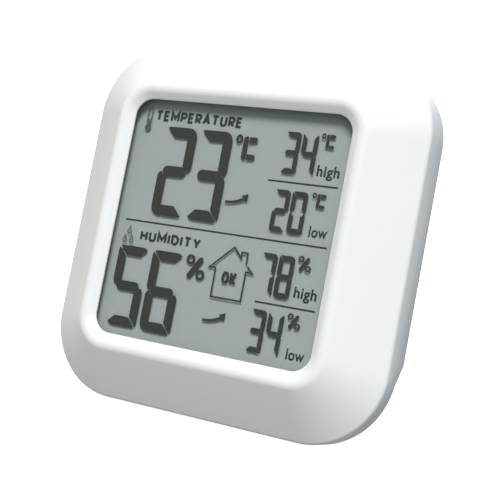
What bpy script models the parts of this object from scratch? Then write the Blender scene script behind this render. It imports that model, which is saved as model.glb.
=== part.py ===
"""Digital table hygrometer: a square white case with a segment display, leaning back on a fold-out stand.

Every piece is placed in the face frame, whose origin is the middle of the display window at the window's edge: X runs
to the right, Y up the face and Z out of it. The empty called lean tips that frame back and stands it on the floor.
Sizes are in metres.
"""

from math import atan, atan2, cos, pi, radians, sin, tan

import bmesh
import bpy
from mathutils import Vector
from mathutils.geometry import interpolate_bezier

MM = 0.001

# Fits
SEAT = 0.05 * MM  # between the thin layers of the display
TOUCH = 0.1 * MM  # between pieces that rest on each other
CLEAR = 0.3 * MM  # between pieces that are cut to fit each other

# Case
CASE_SIDE = 77 * MM
CASE_CORNER = 16 * MM  # corner radius, seen from the front
SIDE_DEPTH = 14 * MM  # from the window's edge back to the side wall's rear edge
FOOT_DEPTH = 11.2 * MM  # the same at the case's foot, where the wall is cut back
FOOT_RISE = 14.5 * MM  # height above the foot up to which the wall is cut back
STEP_RISE = 4 * MM  # height of the slant from the cut-back wall to the full one
SIDE_WALL = 2 * MM
FACE_WALL = 1.6 * MM
FACE_END = 6.2 * MM  # how far back the bevel meets the side wall
RIM_RADIUS = 1.1 * MM
LEAN = radians(22.73)  # how far the face leans back from upright
FOOT_STRIP = 1.6 * MM  # width of the flat on which the case stands

# Window and its raised lip
WINDOW_SIDE = 50 * MM
WINDOW_CORNER = 3.9 * MM
LIP_ANGLE = radians(33)
LIP_RADIUS = 2.2 * MM
LIP_RUN = 2.41 * MM  # from the window's edge out to the lip's ridge, before its rounding
LEDGE_DEPTH = 0.35 * MM  # the lip's land, down to the ledge over the display

# Display
GASKET_THICK = 0.3 * MM
GASKET_WIDE = 1 * MM
POLARIZER_THICK = 0.15 * MM
REFLECTOR_THICK = 0.55 * MM
GLASS_THICK = 0.7 * MM
REAR_GLASS_THICK = 0.4 * MM
GLASS_BORDER = 1.5 * MM  # glass beyond the window on each side
CONTACT_LEDGE = 1.6 * MM  # how far the front glass stands past the rear one, top and bottom
POLARIZER_INSET = 0.3 * MM
STRIP_WIDE = 1.4 * MM
STRIP_SHORT = 9 * MM  # how much shorter a contact strip is than the glass
HOLDER_RIM = 1 * MM
HOLDER_BEARING = 2 * MM  # how far the holder reaches under the rear glass

# Board and what it carries
BOARD_DEPTH = 6.25 * MM
BOARD_THICK = 1.2 * MM
BOARD_GAP = 0.5 * MM  # from the board's side to the case screws' posts
BOARD_SCREW_INSET = 2.2 * MM  # from the board's upper and lower edges
BOARD_CORNER = 4 * MM
BOARD_SCREW_X = 20 * MM
SWITCH_SIDE = 6 * MM
SWITCH_TALL = 3.6 * MM
PLUNGER_RADIUS = 1.7 * MM
PLUNGER_STANDS = 0.6 * MM
KEY_TRAVEL = 0.3 * MM
KEY_INWARD = 0.55 * MM  # keys stand this much nearer the stand than the middle of the wall they pierce
KEY_Y = -4 * MM
KEY_RADIUS = 2.4 * MM
KEY_PROUD = 0.5 * MM

# Back
REAR_WALL = 1.8 * MM
BACK_DEPTH = 21.5 * MM
HUMP_PAST_COVER = 2.9 * MM  # hump beyond the battery cover on each side
HUMP_PAST_BAY = 2.25 * MM  # hump above the battery bay
HUMP_RISE = 6.5 * MM  # from the case's foot up to the hump
HUMP_CORNER = 6 * MM
HUMP_DRAFT = 0.7 * MM
HUMP_EDGE = 1.4 * MM
VENT_WIDE = 1.2 * MM
VENT_ENDS = 5.3 * MM  # wall left at the two ends of a vent
SENSOR_PAST_VENT = 0.5 * MM  # humidity sensor beyond each end of the vents
VENT_PITCH = 2.8 * MM
VENT_COUNT = 5
VENT_Y = -20 * MM

# Battery: one AAA cell across the case
CELL_RADIUS = 5.25 * MM
CELL_LONG = 44.5 * MM
CELL_NUB = 1 * MM
CELL_Y = 19 * MM
SPRING_LONG = 4.5 * MM
CONTACT_THICK = 0.4 * MM
BAY_WALL = 1.2 * MM
COVER_THICK = 1.2 * MM
COVER_LAP = 1 * MM  # how far the cover reaches past the bay
LEAD_RADIUS = 0.5 * MM

# Stand
STAND_X = 26 * MM
STAND_SPREAD = radians(16.16)  # how far the open stand leans away from upright
STAND_THICK = 2.4 * MM
STAND_HEEL = 3 * MM
STAND_BARREL = 1.4 * MM
HINGE_Y = 3 * MM
HINGE_INSET = 2.2 * MM  # from the back's surface in to the hinge
TRUNNION_RADIUS = 1 * MM
TRUNNION_LONG = 1.5 * MM
RECESS_WALL = 1.6 * MM
RECESS_DEEP = 4 * MM

# Screws
CASE_SCREW_RADIUS = 1.1 * MM
CASE_SCREW_LONG = 6 * MM
CASE_SCREW_HEAD = 1.9 * MM
CASE_SCREW_INSET = 3.9 * MM  # from the side wall's inside
CASE_SCREW_HEIGHTS = (22 * MM, -14 * MM)
CASE_BOSS = 2.5 * MM
BOARD_SCREW_RADIUS = 0.8 * MM
BOARD_SCREW_LONG = 3.4 * MM
BOARD_SCREW_HEAD = 1.7 * MM
BOARD_BOSS = 2 * MM
SCREW_HEAD_TALL = 0.8 * MM

CORNER_STEPS = 10
ROUND_SIDES = 24
SMALL_SIDES = 16

# Sizes that follow from the driving ones
HALF = CASE_SIDE / 2
WINDOW = WINDOW_SIDE / 2
INNER = HALF - SIDE_WALL
STEP_LOW = -HALF + FOOT_RISE
STEP_HIGH = STEP_LOW + STEP_RISE
FACE_ANGLE = atan((FACE_END + LIP_RUN * tan(LIP_ANGLE)) / (HALF - WINDOW - LIP_RUN))  # slope of the broad bevel
CASE_SCREW_X = INNER - CASE_SCREW_INSET
FLOOR = -HALF * cos(LEAN) - FOOT_DEPTH * sin(LEAN) + FOOT_STRIP * sin(LEAN) * cos(LEAN)

GASKET_FRONT = -LEDGE_DEPTH - SEAT
POLARIZER_FRONT = GASKET_FRONT - GASKET_THICK - SEAT
GLASS_FRONT = POLARIZER_FRONT - POLARIZER_THICK - SEAT
REAR_GLASS_FRONT = GLASS_FRONT - GLASS_THICK - SEAT
REFLECTOR_FRONT = REAR_GLASS_FRONT - REAR_GLASS_THICK - SEAT
HOLDER_FRONT = REFLECTOR_FRONT - REFLECTOR_THICK - SEAT
GLASS_X = WINDOW + GLASS_BORDER
REAR_GLASS_Y = WINDOW + GLASS_BORDER - 0.8 * MM
GLASS_Y = REAR_GLASS_Y + CONTACT_LEDGE
STRIP_Y = REAR_GLASS_Y + CONTACT_LEDGE - STRIP_WIDE / 2
STRIP_LONG = 2 * GLASS_X - STRIP_SHORT
HOLDER_X = GLASS_X + HOLDER_RIM
HOLDER_Y = GLASS_Y + HOLDER_RIM

BAY_RADIUS = CELL_RADIUS + CLEAR
BAY_HALF = (CELL_LONG + SPRING_LONG + CONTACT_THICK + 4 * CLEAR) / 2
COVER_X = BAY_HALF + COVER_LAP
COVER_Y = BAY_RADIUS + COVER_LAP
BAY_TOP = CELL_Y + COVER_Y + BAY_WALL

BACK = -BACK_DEPTH
BACK_INSIDE = BACK + REAR_WALL
HUMP_X = 2 * (COVER_X + HUMP_PAST_COVER)
HUMP_TOP = BAY_TOP + HUMP_PAST_BAY
HUMP_BOTTOM = HUMP_RISE - HALF
HUMP_Y = (HUMP_TOP - HUMP_BOTTOM) / 2
HUMP_MIDDLE = (HUMP_TOP + HUMP_BOTTOM) / 2

HINGE_Z = BACK + HINGE_INSET
HINGE_HEIGHT = HINGE_Y * cos(LEAN) + HINGE_Z * sin(LEAN) - FLOOR
STAND_LONG = HINGE_HEIGHT / cos(STAND_SPREAD)  # from its hinge to the floor
STAND_SWING = LEAN + STAND_SPREAD
RECESS_X = STAND_X / 2 + CLEAR
RECESS_TOP = HINGE_Y + STAND_HEEL + 2 * CLEAR
RECESS_FLOOR = BACK_DEPTH - RECESS_DEEP

VENT_X = (RECESS_X + RECESS_WALL + HUMP_X / 2) / 2
VENT_LONG = HUMP_X / 2 - RECESS_X - RECESS_WALL - VENT_ENDS
KEY_X = VENT_X - KEY_INWARD
SENSOR_HALF = VENT_LONG / 2 + SENSOR_PAST_VENT
SENSOR_PITCH = (2 * SENSOR_HALF - 3.4 * MM) / 3  # between the four slots in its lid

BOARD_FRONT = -BOARD_DEPTH
BOARD_REAR = BOARD_FRONT - BOARD_THICK
BOARD_SCREW_Y = max(HOLDER_Y + BOARD_BOSS, BAY_TOP + BOARD_SCREW_HEAD) + CLEAR  # clear of display and bay
BOARD_X = 2 * (CASE_SCREW_X - CASE_BOSS - BOARD_GAP)
BOARD_Y = 2 * (BOARD_SCREW_Y + BOARD_SCREW_INSET)
SWITCH_REAR = BOARD_REAR - TOUCH - SWITCH_TALL
PLUNGER_REAR = SWITCH_REAR - PLUNGER_STANDS

CELL_Z = BACK + COVER_THICK + 2 * CLEAR + CELL_RADIUS
BAY_FLOOR = CELL_Z + BAY_RADIUS
CONTACT_FACE = BAY_HALF - CLEAR - CONTACT_THICK
CELL_END = CONTACT_FACE - CLEAR
CELL_START = CELL_END - CELL_LONG
LEAD_X = CONTACT_FACE - LEAD_RADIUS - TOUCH
LEAD_Z = CELL_Z + 0.75 * CELL_RADIUS


# Scene ---------------------------------------------------------------------------------------------------------------


def clear_scene():
    """An empty scene to build in."""
    for old in list(bpy.data.objects):
        bpy.data.objects.remove(old, do_unlink=True)


def collection(name, hidden=False):
    """A new collection in the scene."""
    made = bpy.data.collections.new(name)
    made.hide_render = hidden
    bpy.context.scene.collection.children.link(made)
    return made


def empty(name, parent=None, location=(0, 0, 0), tip=0.0):
    """A frame to hang pieces on, turned by tip about X."""
    made = bpy.data.objects.new(name, None)
    made.empty_display_size = 0.01
    made.parent = parent
    made.location = location
    made.rotation_euler.x = tip
    PIECES.objects.link(made)
    return made


def finish(name, colour, roughness, metallic=0.0, clear=0.0):
    """A material: colour is linear, and clear is how much light passes through."""
    made = bpy.data.materials.new(name)
    made.use_nodes = True
    shader = made.node_tree.nodes["Principled BSDF"]
    shader.inputs["Base Color"].default_value = (*colour, 1)
    shader.inputs["Roughness"].default_value = roughness
    shader.inputs["Metallic"].default_value = metallic
    shader.inputs["Transmission Weight"].default_value = clear
    made.diffuse_color = (*colour, 1)
    return made


def piece(name, shape, material, parent=None, location=(0, 0, 0)):
    """A named piece of the hygrometer from a bmesh, smooth where it is round."""
    made = _object(name, shape, parent, location)
    made.data.materials.append(material)
    made.data.shade_smooth()
    made.data.set_sharp_from_angle(angle=radians(28))
    PIECES.objects.link(made)
    return made


def tool(name, shape, parent=None, location=(0, 0, 0)):
    """A hidden shape that is cut from a piece or joined to it."""
    made = _object(name, shape, parent, location)
    made.hide_render = True
    made.display_type = "WIRE"
    TOOLS.objects.link(made)
    return made


def _object(name, shape, parent, location):
    mesh = bpy.data.meshes.new(name)
    shape.to_mesh(mesh)
    shape.free()
    made = bpy.data.objects.new(name, mesh)
    made.parent = parent or FACE
    made.location = location
    return made


def boolean(target, other, operation):
    """Adds a Boolean with the other object to the target."""
    modifier = target.modifiers.new(f"{operation.lower()} {other.name}", "BOOLEAN")
    modifier.operation = operation
    modifier.object = other
    modifier.solver = "EXACT"


def cut(target, *others):
    """Takes each of the other shapes out of the target."""
    for other in others:
        boolean(target, other, "DIFFERENCE")


def join(target, *others):
    """Makes the target and the other shapes one body."""
    for other in others:
        boolean(target, other, "UNION")


# Shapes --------------------------------------------------------------------------------------------------------------


def block(low, high, edge=0.0):
    """A box between two corners, with its edges rounded by edge."""
    shape = bmesh.new()
    bmesh.ops.create_cube(shape, size=1)
    low, high = Vector(low), Vector(high)
    bmesh.ops.scale(shape, vec=high - low, verts=shape.verts)
    if edge:
        bmesh.ops.bevel(shape, geom=shape.edges[:], offset=edge, segments=2, profile=0.5, affect="EDGES")
    bmesh.ops.translate(shape, vec=(low + high) / 2, verts=shape.verts)
    return shape


def rod(radius, start, end, sides=SMALL_SIDES, end_radius=None):
    """A cylinder or cone from one point to another."""
    shape = bmesh.new()
    start, end = Vector(start), Vector(end)
    bmesh.ops.create_cone(
        shape,
        cap_ends=True,
        segments=sides,
        radius1=radius,
        radius2=radius if end_radius is None else end_radius,
        depth=(end - start).length,
    )
    turn = Vector((0, 0, 1)).rotation_difference(end - start).to_matrix()
    bmesh.ops.rotate(shape, matrix=turn, verts=shape.verts)
    bmesh.ops.translate(shape, vec=(start + end) / 2, verts=shape.verts)
    return shape


def turned(profile, axis="Z", sides=ROUND_SIDES):
    """A turned solid: profile is (radius, height) from its top to its bottom, on the axis at both ends."""
    shape = bmesh.new()
    points = [shape.verts.new((radius, 0, height)) for radius, height in profile]
    edges = [shape.edges.new(pair) for pair in zip(points, points[1:])]
    bmesh.ops.spin(
        shape, geom=points + edges, axis=(0, 0, 1), cent=(0, 0, 0), angle=2 * pi, steps=sides, use_merge=True
    )
    bmesh.ops.remove_doubles(shape, verts=shape.verts, dist=1e-6)
    if axis == "X":
        turn = Vector((0, 0, 1)).rotation_difference(Vector((1, 0, 0))).to_matrix()
        bmesh.ops.rotate(shape, matrix=turn, verts=shape.verts)
    bmesh.ops.recalc_face_normals(shape, faces=shape.faces)
    return shape


def loft(rings, around=False):
    """A skin through rings of equally many points. It closes on its first ring if around, and has ends if not."""
    shape = bmesh.new()
    loops = [[shape.verts.new(point) for point in ring] for ring in rings]
    pairs = list(zip(loops, loops[1:]))
    if around:
        pairs.append((loops[-1], loops[0]))
    else:
        shape.faces.new(loops[0])
        shape.faces.new(loops[-1])
    for one, two in pairs:
        for i in range(len(one)):
            shape.faces.new((one[i - 1], one[i], two[i], two[i - 1]))
    bmesh.ops.recalc_face_normals(shape, faces=shape.faces)
    return shape


def rounded(corners, steps=5):
    """The points of a line through (x, y, radius) corners, with an arc at each corner inside the line."""
    points = []
    for index, (x, y, radius) in enumerate(corners):
        here = Vector((x, y))
        if radius == 0 or index in (0, len(corners) - 1):
            points.append(here)
            continue
        before = (Vector(corners[index - 1][:2]) - here).normalized()
        after = (Vector(corners[index + 1][:2]) - here).normalized()
        half = before.angle(after) / 2
        centre = here + (before + after).normalized() * radius / sin(half)
        start = here + before * radius / tan(half) - centre
        end = here + after * radius / tan(half) - centre
        first = atan2(start.y, start.x)
        sweep = atan2(start.x * end.y - start.y * end.x, start.dot(end))
        for step in range(steps + 1):
            angle = first + sweep * step / steps
            points.append(centre + radius * Vector((cos(angle), sin(angle))))
    return points


def outline(half_x, half_y, radius, middle_y=0.0, stop=None):
    """A rounded rectangle, anticlockwise. stop is the height of an extra point on each side."""
    points = [] if stop is None else [(half_x, stop)]
    for index, (right, up) in enumerate(((1, 1), (-1, 1), (-1, -1), (1, -1))):
        if index == 2 and stop is not None:
            points.append((-half_x, stop))
        for step in range(CORNER_STEPS + 1):
            angle = (index + step / CORNER_STEPS) * pi / 2
            x = right * (half_x - radius) + radius * cos(angle)
            y = up * (half_y - radius) + radius * sin(angle)
            points.append((x, y + middle_y))
    return points


def flat_ring(points, z):
    """An outline at one depth."""
    return [Vector((x, y, z)) for x, y in points]


def plate(half_x, half_y, radius, front, rear):
    """A flat plate with round corners."""
    points = outline(half_x, half_y, radius)
    return loft([flat_ring(points, front), flat_ring(points, rear)])


def frame(outer, inner, front, rear):
    """A flat frame between two outlines."""
    return loft(
        [flat_ring(outer, front), flat_ring(outer, rear), flat_ring(inner, rear), flat_ring(inner, front)],
        around=True,
    )


# Case ----------------------------------------------------------------------------------------------------------------


def corner_radius(half):
    """The corner radius of the case's outline where it is half wide, from the window's to the side wall's."""
    share = (half - WINDOW) / (HALF - WINDOW)
    return WINDOW_CORNER + share * (CASE_CORNER - WINDOW_CORNER)


def rim_z(y):
    """The depth of the side wall's rear edge, which is cut back at the foot."""
    share = min(max((y - STEP_LOW) / STEP_RISE, 0.0), 1.0)
    return -(FOOT_DEPTH + share * (SIDE_DEPTH - FOOT_DEPTH))


def case_outline(half):
    """The case's outline where it is half wide."""
    return outline(half, half, corner_radius(half), stop=STEP_HIGH)


def rim_ring(half, inset=0.0):
    """The case's outline on the surface through the side wall's rear edge, moved inset towards the face."""
    return [Vector((x, y, rim_z(y) + inset)) for x, y in case_outline(half)]


def face_z(half, inset=0.0):
    """The depth of the face's bevel, and of its inner side for an inset measured across the wall."""
    return (HALF - half) * tan(FACE_ANGLE) - FACE_END - inset / cos(FACE_ANGLE)


def case_boss(x, y, radius, end):
    """A post from the inner side of the face to a depth, started inside the face's wall."""
    start = face_z(max(abs(x), abs(y)) + radius, 0.25 * MM)
    return tool(f"boss {x:.4f} {y:.4f}", rod(radius, (x, y, start), (x, y, end)))


def front_shell():
    """The front: lip, bevel and side wall in one skin, with posts for the screws."""
    apex = face_z(WINDOW) / (tan(LIP_ANGLE) + tan(FACE_ANGLE))
    corners = (
        (WINDOW, 0, 0),
        (WINDOW + apex, apex * tan(LIP_ANGLE), LIP_RADIUS),
        (HALF, -FACE_END, RIM_RADIUS),
        (HALF, -FOOT_DEPTH, 0),
    )
    skin = [flat_ring(case_outline(half), z) for half, z in rounded(corners)[:-1]]
    ledge = HALF - (FACE_END + FACE_WALL / cos(FACE_ANGLE) - LEDGE_DEPTH) / tan(FACE_ANGLE)
    inside = ((INNER, face_z(INNER, FACE_WALL)), (ledge, -LEDGE_DEPTH), (WINDOW, -LEDGE_DEPTH))
    rings = [*skin, rim_ring(HALF), rim_ring(INNER)]
    rings += [flat_ring(case_outline(half), z) for half, z in inside]
    shell = piece("front_shell", loft(rings, around=True), WHITE)
    for x in (-CASE_SCREW_X, CASE_SCREW_X):
        for y in CASE_SCREW_HEIGHTS:
            end = rim_z(y) + REAR_WALL + CLEAR
            join(shell, case_boss(x, y, CASE_BOSS, end))
            hole = rod(CASE_SCREW_RADIUS + CLEAR, (x, y, end - MM), (x, y, end + CASE_SCREW_LONG))
            cut(shell, tool("case screw hole", hole))
    for x in (-BOARD_SCREW_X, BOARD_SCREW_X):
        for y in (-BOARD_SCREW_Y, BOARD_SCREW_Y):
            end = BOARD_FRONT + TOUCH
            join(shell, case_boss(x, y, BOARD_BOSS, end))
            hole = rod(BOARD_SCREW_RADIUS + CLEAR, (x, y, end - MM), (x, y, end + BOARD_SCREW_LONG - BOARD_THICK))
            cut(shell, tool("board screw hole", hole))
    low = (-GLASS_X - CLEAR, -GLASS_Y - CLEAR, HOLDER_FRONT)
    high = (GLASS_X + CLEAR, GLASS_Y + CLEAR, POLARIZER_FRONT + SEAT / 2)
    cut(shell, tool("display pocket", block(low, high)), FLOOR_CUT)
    return shell


def hump_outline(grown):
    """The hump's outline on the back, grown outwards by grown."""
    return outline(HUMP_X / 2 + grown, HUMP_Y + grown, HUMP_CORNER + grown, HUMP_MIDDLE, stop=STEP_HIGH)


def rear_shell():
    """The back: a plate inside the side wall, with a hump for the cell and the stand's recess."""
    edge = HALF - SIDE_WALL - CLEAR
    wall = rounded(((HUMP_DRAFT, -SIDE_DEPTH, 0), (0, BACK, HUMP_EDGE), (-HUMP_EDGE * 2, BACK, 0)), 3)
    outside = [rim_ring(edge)]
    outside.append([Vector((x, y, rim_z(y))) for x, y in hump_outline(HUMP_DRAFT)])
    outside += [flat_ring(hump_outline(grown), z) for grown, z in wall[1:]]
    inside = [
        flat_ring(hump_outline(-REAR_WALL), BACK_INSIDE),
        [Vector((x, y, rim_z(y) + REAR_WALL)) for x, y in hump_outline(HUMP_DRAFT - REAR_WALL)],
        rim_ring(edge, REAR_WALL),
    ]
    shell = piece("rear_shell", loft([*inside, *outside]), WHITE)
    inner_back = BACK_INSIDE - REAR_WALL / 2
    join(
        shell,
        tool(
            "recess walls",
            block(
                (-RECESS_X - RECESS_WALL, HUMP_BOTTOM + REAR_WALL / 2, inner_back),
                (RECESS_X + RECESS_WALL, RECESS_TOP + RECESS_WALL, -RECESS_FLOOR + RECESS_WALL),
            ),
        ),
        tool(
            "bay walls",
            block(
                (-HUMP_X / 2 + REAR_WALL / 2, CELL_Y - COVER_Y - BAY_WALL, inner_back),
                (HUMP_X / 2 - REAR_WALL / 2, CELL_Y + COVER_Y + BAY_WALL, BAY_FLOOR + BAY_WALL * 0.8),
            ),
        ),
    )
    cut(
        shell,
        tool(
            "stand recess",
            block((-RECESS_X, HUMP_BOTTOM - 3 * MM, BACK - MM), (RECESS_X, RECESS_TOP, -RECESS_FLOOR)),
        ),
        tool(
            "cell bay",
            block((-BAY_HALF, CELL_Y - BAY_RADIUS, BACK - MM), (BAY_HALF, CELL_Y + BAY_RADIUS, BAY_FLOOR)),
        ),
        tool(
            "cover rebate",
            block(
                (-COVER_X - CLEAR, CELL_Y - COVER_Y - CLEAR, BACK - MM),
                (COVER_X + CLEAR, CELL_Y + COVER_Y + CLEAR, BACK + COVER_THICK + CLEAR),
            ),
        ),
        tool(
            "trunnion holes",
            rod(
                TRUNNION_RADIUS + CLEAR,
                (-RECESS_X - RECESS_WALL - MM, HINGE_Y, HINGE_Z),
                (RECESS_X + RECESS_WALL + MM, HINGE_Y, HINGE_Z),
            ),
        ),
    )
    for side in (-1, 1):
        x = side * KEY_X
        hole = rod(KEY_RADIUS + CLEAR, (x, KEY_Y, BACK - MM), (x, KEY_Y, BACK_INSIDE + MM), ROUND_SIDES)
        cut(shell, tool("key hole", hole))
        lead_low = CELL_Y - COVER_Y - BAY_WALL - MM
        way = rod(LEAD_RADIUS * 2, (side * LEAD_X, lead_low, LEAD_Z), (side * LEAD_X, CELL_Y - BAY_RADIUS + MM, LEAD_Z))
        cut(shell, tool("lead hole", way))
        for index in range(VENT_COUNT):
            y = VENT_Y + (index - (VENT_COUNT - 1) / 2) * VENT_PITCH
            low = (side * VENT_X - VENT_LONG / 2, y - VENT_WIDE / 2, BACK - MM)
            high = (side * VENT_X + VENT_LONG / 2, y + VENT_WIDE / 2, BACK_INSIDE + MM)
            cut(shell, tool("vent", block(low, high)))
        for y in CASE_SCREW_HEIGHTS:
            x = side * CASE_SCREW_X
            outer = rim_z(y)
            head = rod(CASE_SCREW_HEAD + CLEAR, (x, y, outer - MM), (x, y, outer + SCREW_HEAD_TALL + CLEAR))
            shank = rod(CASE_SCREW_RADIUS + CLEAR, (x, y, outer - MM), (x, y, outer + REAR_WALL + MM))
            cut(shell, tool("screw sink", head), tool("screw way", shank))
    return shell


def battery_cover():
    """The cover of the cell's bay, with grip ribs on its outside."""
    front = BACK + COVER_THICK
    body = block((-COVER_X, -COVER_Y, BACK), (COVER_X, COVER_Y, front))
    cover = piece("battery_cover", body, WHITE, location=(0, CELL_Y, 0))
    for index in range(3):
        x = COVER_X - (4 + 1.6 * index) * MM
        groove = rod(0.35 * MM, (x, CELL_Y - 3 * MM, BACK), (x, CELL_Y + 3 * MM, BACK), 8)
        cut(cover, tool("grip groove", groove))
    return cover


def kickstand():
    """The fold-out stand: a plate on two trunnions, with a heel that stops it and a flat foot."""
    half = STAND_X / 2
    thick = STAND_THICK / 2
    stand = piece(
        "kickstand",
        block((-half, -STAND_LONG - 2 * MM, -thick), (half, STAND_HEEL, thick), 0.3 * MM),
        WHITE,
        parent=HINGE,
    )
    barrel = rod(STAND_BARREL, (-half + CLEAR, 0, 0), (half - CLEAR, 0, 0), ROUND_SIDES)
    pins = rod(TRUNNION_RADIUS, (-half - TRUNNION_LONG, 0, 0), (half + TRUNNION_LONG, 0, 0))
    join(stand, tool("stand barrel", barrel, HINGE), tool("stand trunnions", pins, HINGE))
    panel = block((-half + 3 * MM, -STAND_LONG + 7 * MM, -thick - MM), (half - 3 * MM, -4 * MM, -thick + 0.6 * MM))
    heel_stop = block((-HALF, -HALF, -RECESS_FLOOR - CLEAR), (HALF, HALF, 0))
    cut(stand, tool("stand panel", panel, HINGE), tool("heel stop", heel_stop), FLOOR_CUT)
    return stand


# Display -------------------------------------------------------------------------------------------------------------


def display():
    """The display's layers from the front: gasket, polarizer, two glasses, reflector, and the holder behind them."""
    gasket_in = WINDOW + CLEAR
    gasket_out = gasket_in + GASKET_WIDE
    outer, inner = (outline(half, half, corner_radius(half)) for half in (gasket_out, gasket_in))
    piece("display_gasket", frame(outer, inner, GASKET_FRONT, GASKET_FRONT - GASKET_THICK), FOAM)
    polarizer_x = GLASS_X - POLARIZER_INSET
    polarizer_y = REAR_GLASS_Y - POLARIZER_INSET
    layers = (
        ("front_polarizer", polarizer_x, polarizer_y, POLARIZER_FRONT, POLARIZER_THICK, FILM),
        ("front_glass", GLASS_X, GLASS_Y, GLASS_FRONT, GLASS_THICK, GLASS),
        ("rear_glass", GLASS_X, REAR_GLASS_Y, REAR_GLASS_FRONT, REAR_GLASS_THICK, GLASS),
        ("reflector", polarizer_x, polarizer_y, REFLECTOR_FRONT, REFLECTOR_THICK, REFLECTOR),
    )
    for name, half_x, half_y, front, thick, material in layers:
        piece(name, block((-half_x, -half_y, front - thick), (half_x, half_y, front)), material)


def display_holder():
    """The frame behind the display, which also keeps the two contact strips in place."""
    outer = outline(HOLDER_X, HOLDER_Y, HOLDER_RIM)
    inner = outline(GLASS_X - HOLDER_BEARING, REAR_GLASS_Y - HOLDER_BEARING, HOLDER_RIM)
    holder = piece("display_holder", frame(outer, inner, HOLDER_FRONT, BOARD_FRONT + CLEAR), GREY)
    for side, place in ((1, "upper"), (-1, "lower")):
        y = side * STRIP_Y
        half = STRIP_LONG / 2
        wide = STRIP_WIDE / 2
        slot = block(
            (-half - CLEAR, y - wide - CLEAR, BOARD_FRONT - MM), (half + CLEAR, y + wide + CLEAR, HOLDER_FRONT + MM)
        )
        cut(holder, tool("strip slot", slot))
        strip = block((-half, y - wide, BOARD_FRONT + SEAT), (half, y + wide, REAR_GLASS_FRONT))
        piece(f"{place}_contact_strip", strip, RUBBER)


# Board ---------------------------------------------------------------------------------------------------------------


def main_board():
    """The circuit board, with a hole for each of its screws."""
    half_x, half_y = BOARD_X / 2, BOARD_Y / 2
    board = piece("main_board", plate(half_x, half_y, BOARD_CORNER, BOARD_FRONT, BOARD_REAR), BOARD)
    for index, (x, y) in enumerate(board_screw_places(), 1):
        hole = rod(BOARD_SCREW_RADIUS + CLEAR, (x, y, BOARD_REAR - MM), (x, y, BOARD_FRONT + MM))
        cut(board, tool("board hole", hole))
        screw(f"board_screw_{index}", x, y, BOARD_REAR - TOUCH, BOARD_SCREW_RADIUS, BOARD_SCREW_LONG, BOARD_SCREW_HEAD)
    return board


def board_screw_places():
    """Where the board's screws are, from the top left."""
    return [(x, y) for y in (BOARD_SCREW_Y, -BOARD_SCREW_Y) for x in (-BOARD_SCREW_X, BOARD_SCREW_X)]


def screw(name, x, y, seat, radius, long, head):
    """A cross-head screw driven from behind. seat is the depth of the head's underside."""
    top = seat - SCREW_HEAD_TALL
    profile = ((0, long), (radius * 0.6, long), (radius, long - 0.8 * MM), (radius, 0), (head, 0))
    profile += ((head, -SCREW_HEAD_TALL * 0.6), (head * 0.85, -SCREW_HEAD_TALL), (0, -SCREW_HEAD_TALL))
    made = piece(name, turned(profile, sides=SMALL_SIDES), STEEL, location=(x, y, seat))
    arm, width = head * 0.6, head * 0.14
    for index, (dx, dy) in enumerate(((arm, width), (width, arm)), 1):
        low = (x - dx, y - dy, top - MM)
        slot = block(low, (x + dx, y + dy, top + SCREW_HEAD_TALL * 0.5))
        cut(made, tool(f"cross slot {index}", slot))


def board_parts():
    """What is soldered to the board's rear face."""
    rear = BOARD_REAR - TOUCH
    dome = ((0, 0), (6 * MM, 0), (5.8 * MM, -0.8 * MM), (4.4 * MM, -1.5 * MM), (2.2 * MM, -1.8 * MM), (0, -1.9 * MM))
    piece("controller_chip", turned(dome, sides=ROUND_SIDES), EPOXY, location=(0, -9 * MM, rear))
    crystal = rod(1 * MM, (-3 * MM, 0, 0), (3 * MM, 0, 0))
    piece("clock_crystal", crystal, STEEL, location=(9 * MM, -20 * MM, rear - 1 * MM))
    can = ((0, 0), (2.5 * MM, 0), (2.5 * MM, -5 * MM), (2.1 * MM, -5.4 * MM), (0, -5.4 * MM))
    piece("supply_capacitor", turned(can, sides=SMALL_SIDES), CAN, location=(-11 * MM, 1 * MM, rear))
    chip = block((-1 * MM, -0.6 * MM, -0.9 * MM), (1 * MM, 0.6 * MM, 0), 0.1 * MM)
    piece("timing_capacitor", chip, CERAMIC, location=(9 * MM, -15 * MM, rear))
    sensor = piece(
        "humidity_sensor",
        block((-SENSOR_HALF, -3.5 * MM, -4 * MM), (SENSOR_HALF, 3.5 * MM, 0), 0.3 * MM),
        SENSOR,
        location=(-VENT_X, VENT_Y, rear),
    )
    for index in range(4):
        x = -VENT_X + (index - 1.5) * SENSOR_PITCH
        slot = SENSOR_PITCH * 0.23
        low = (x - slot, VENT_Y - 2.4 * MM, rear - 5 * MM)
        cut(sensor, tool("sensor slot", block(low, (x + slot, VENT_Y + 2.4 * MM, rear - 3.4 * MM))))
    bead = ((0, 0), (0.9 * MM, -0.4 * MM), (1.2 * MM, -1.2 * MM), (0.9 * MM, -2 * MM), (0, -2.4 * MM))
    bead_place = (VENT_X, VENT_Y, rear - 4 * MM)
    thermistor = piece("temperature_sensor", turned(bead, sides=12), EPOXY, location=bead_place)
    for side in (-1, 1):
        x = VENT_X + side * 0.5 * MM
        legs = rod(0.22 * MM, (x, VENT_Y, rear), (x, VENT_Y, rear - 5 * MM), 8)
        join(thermistor, tool("thermistor leg", legs))


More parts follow.
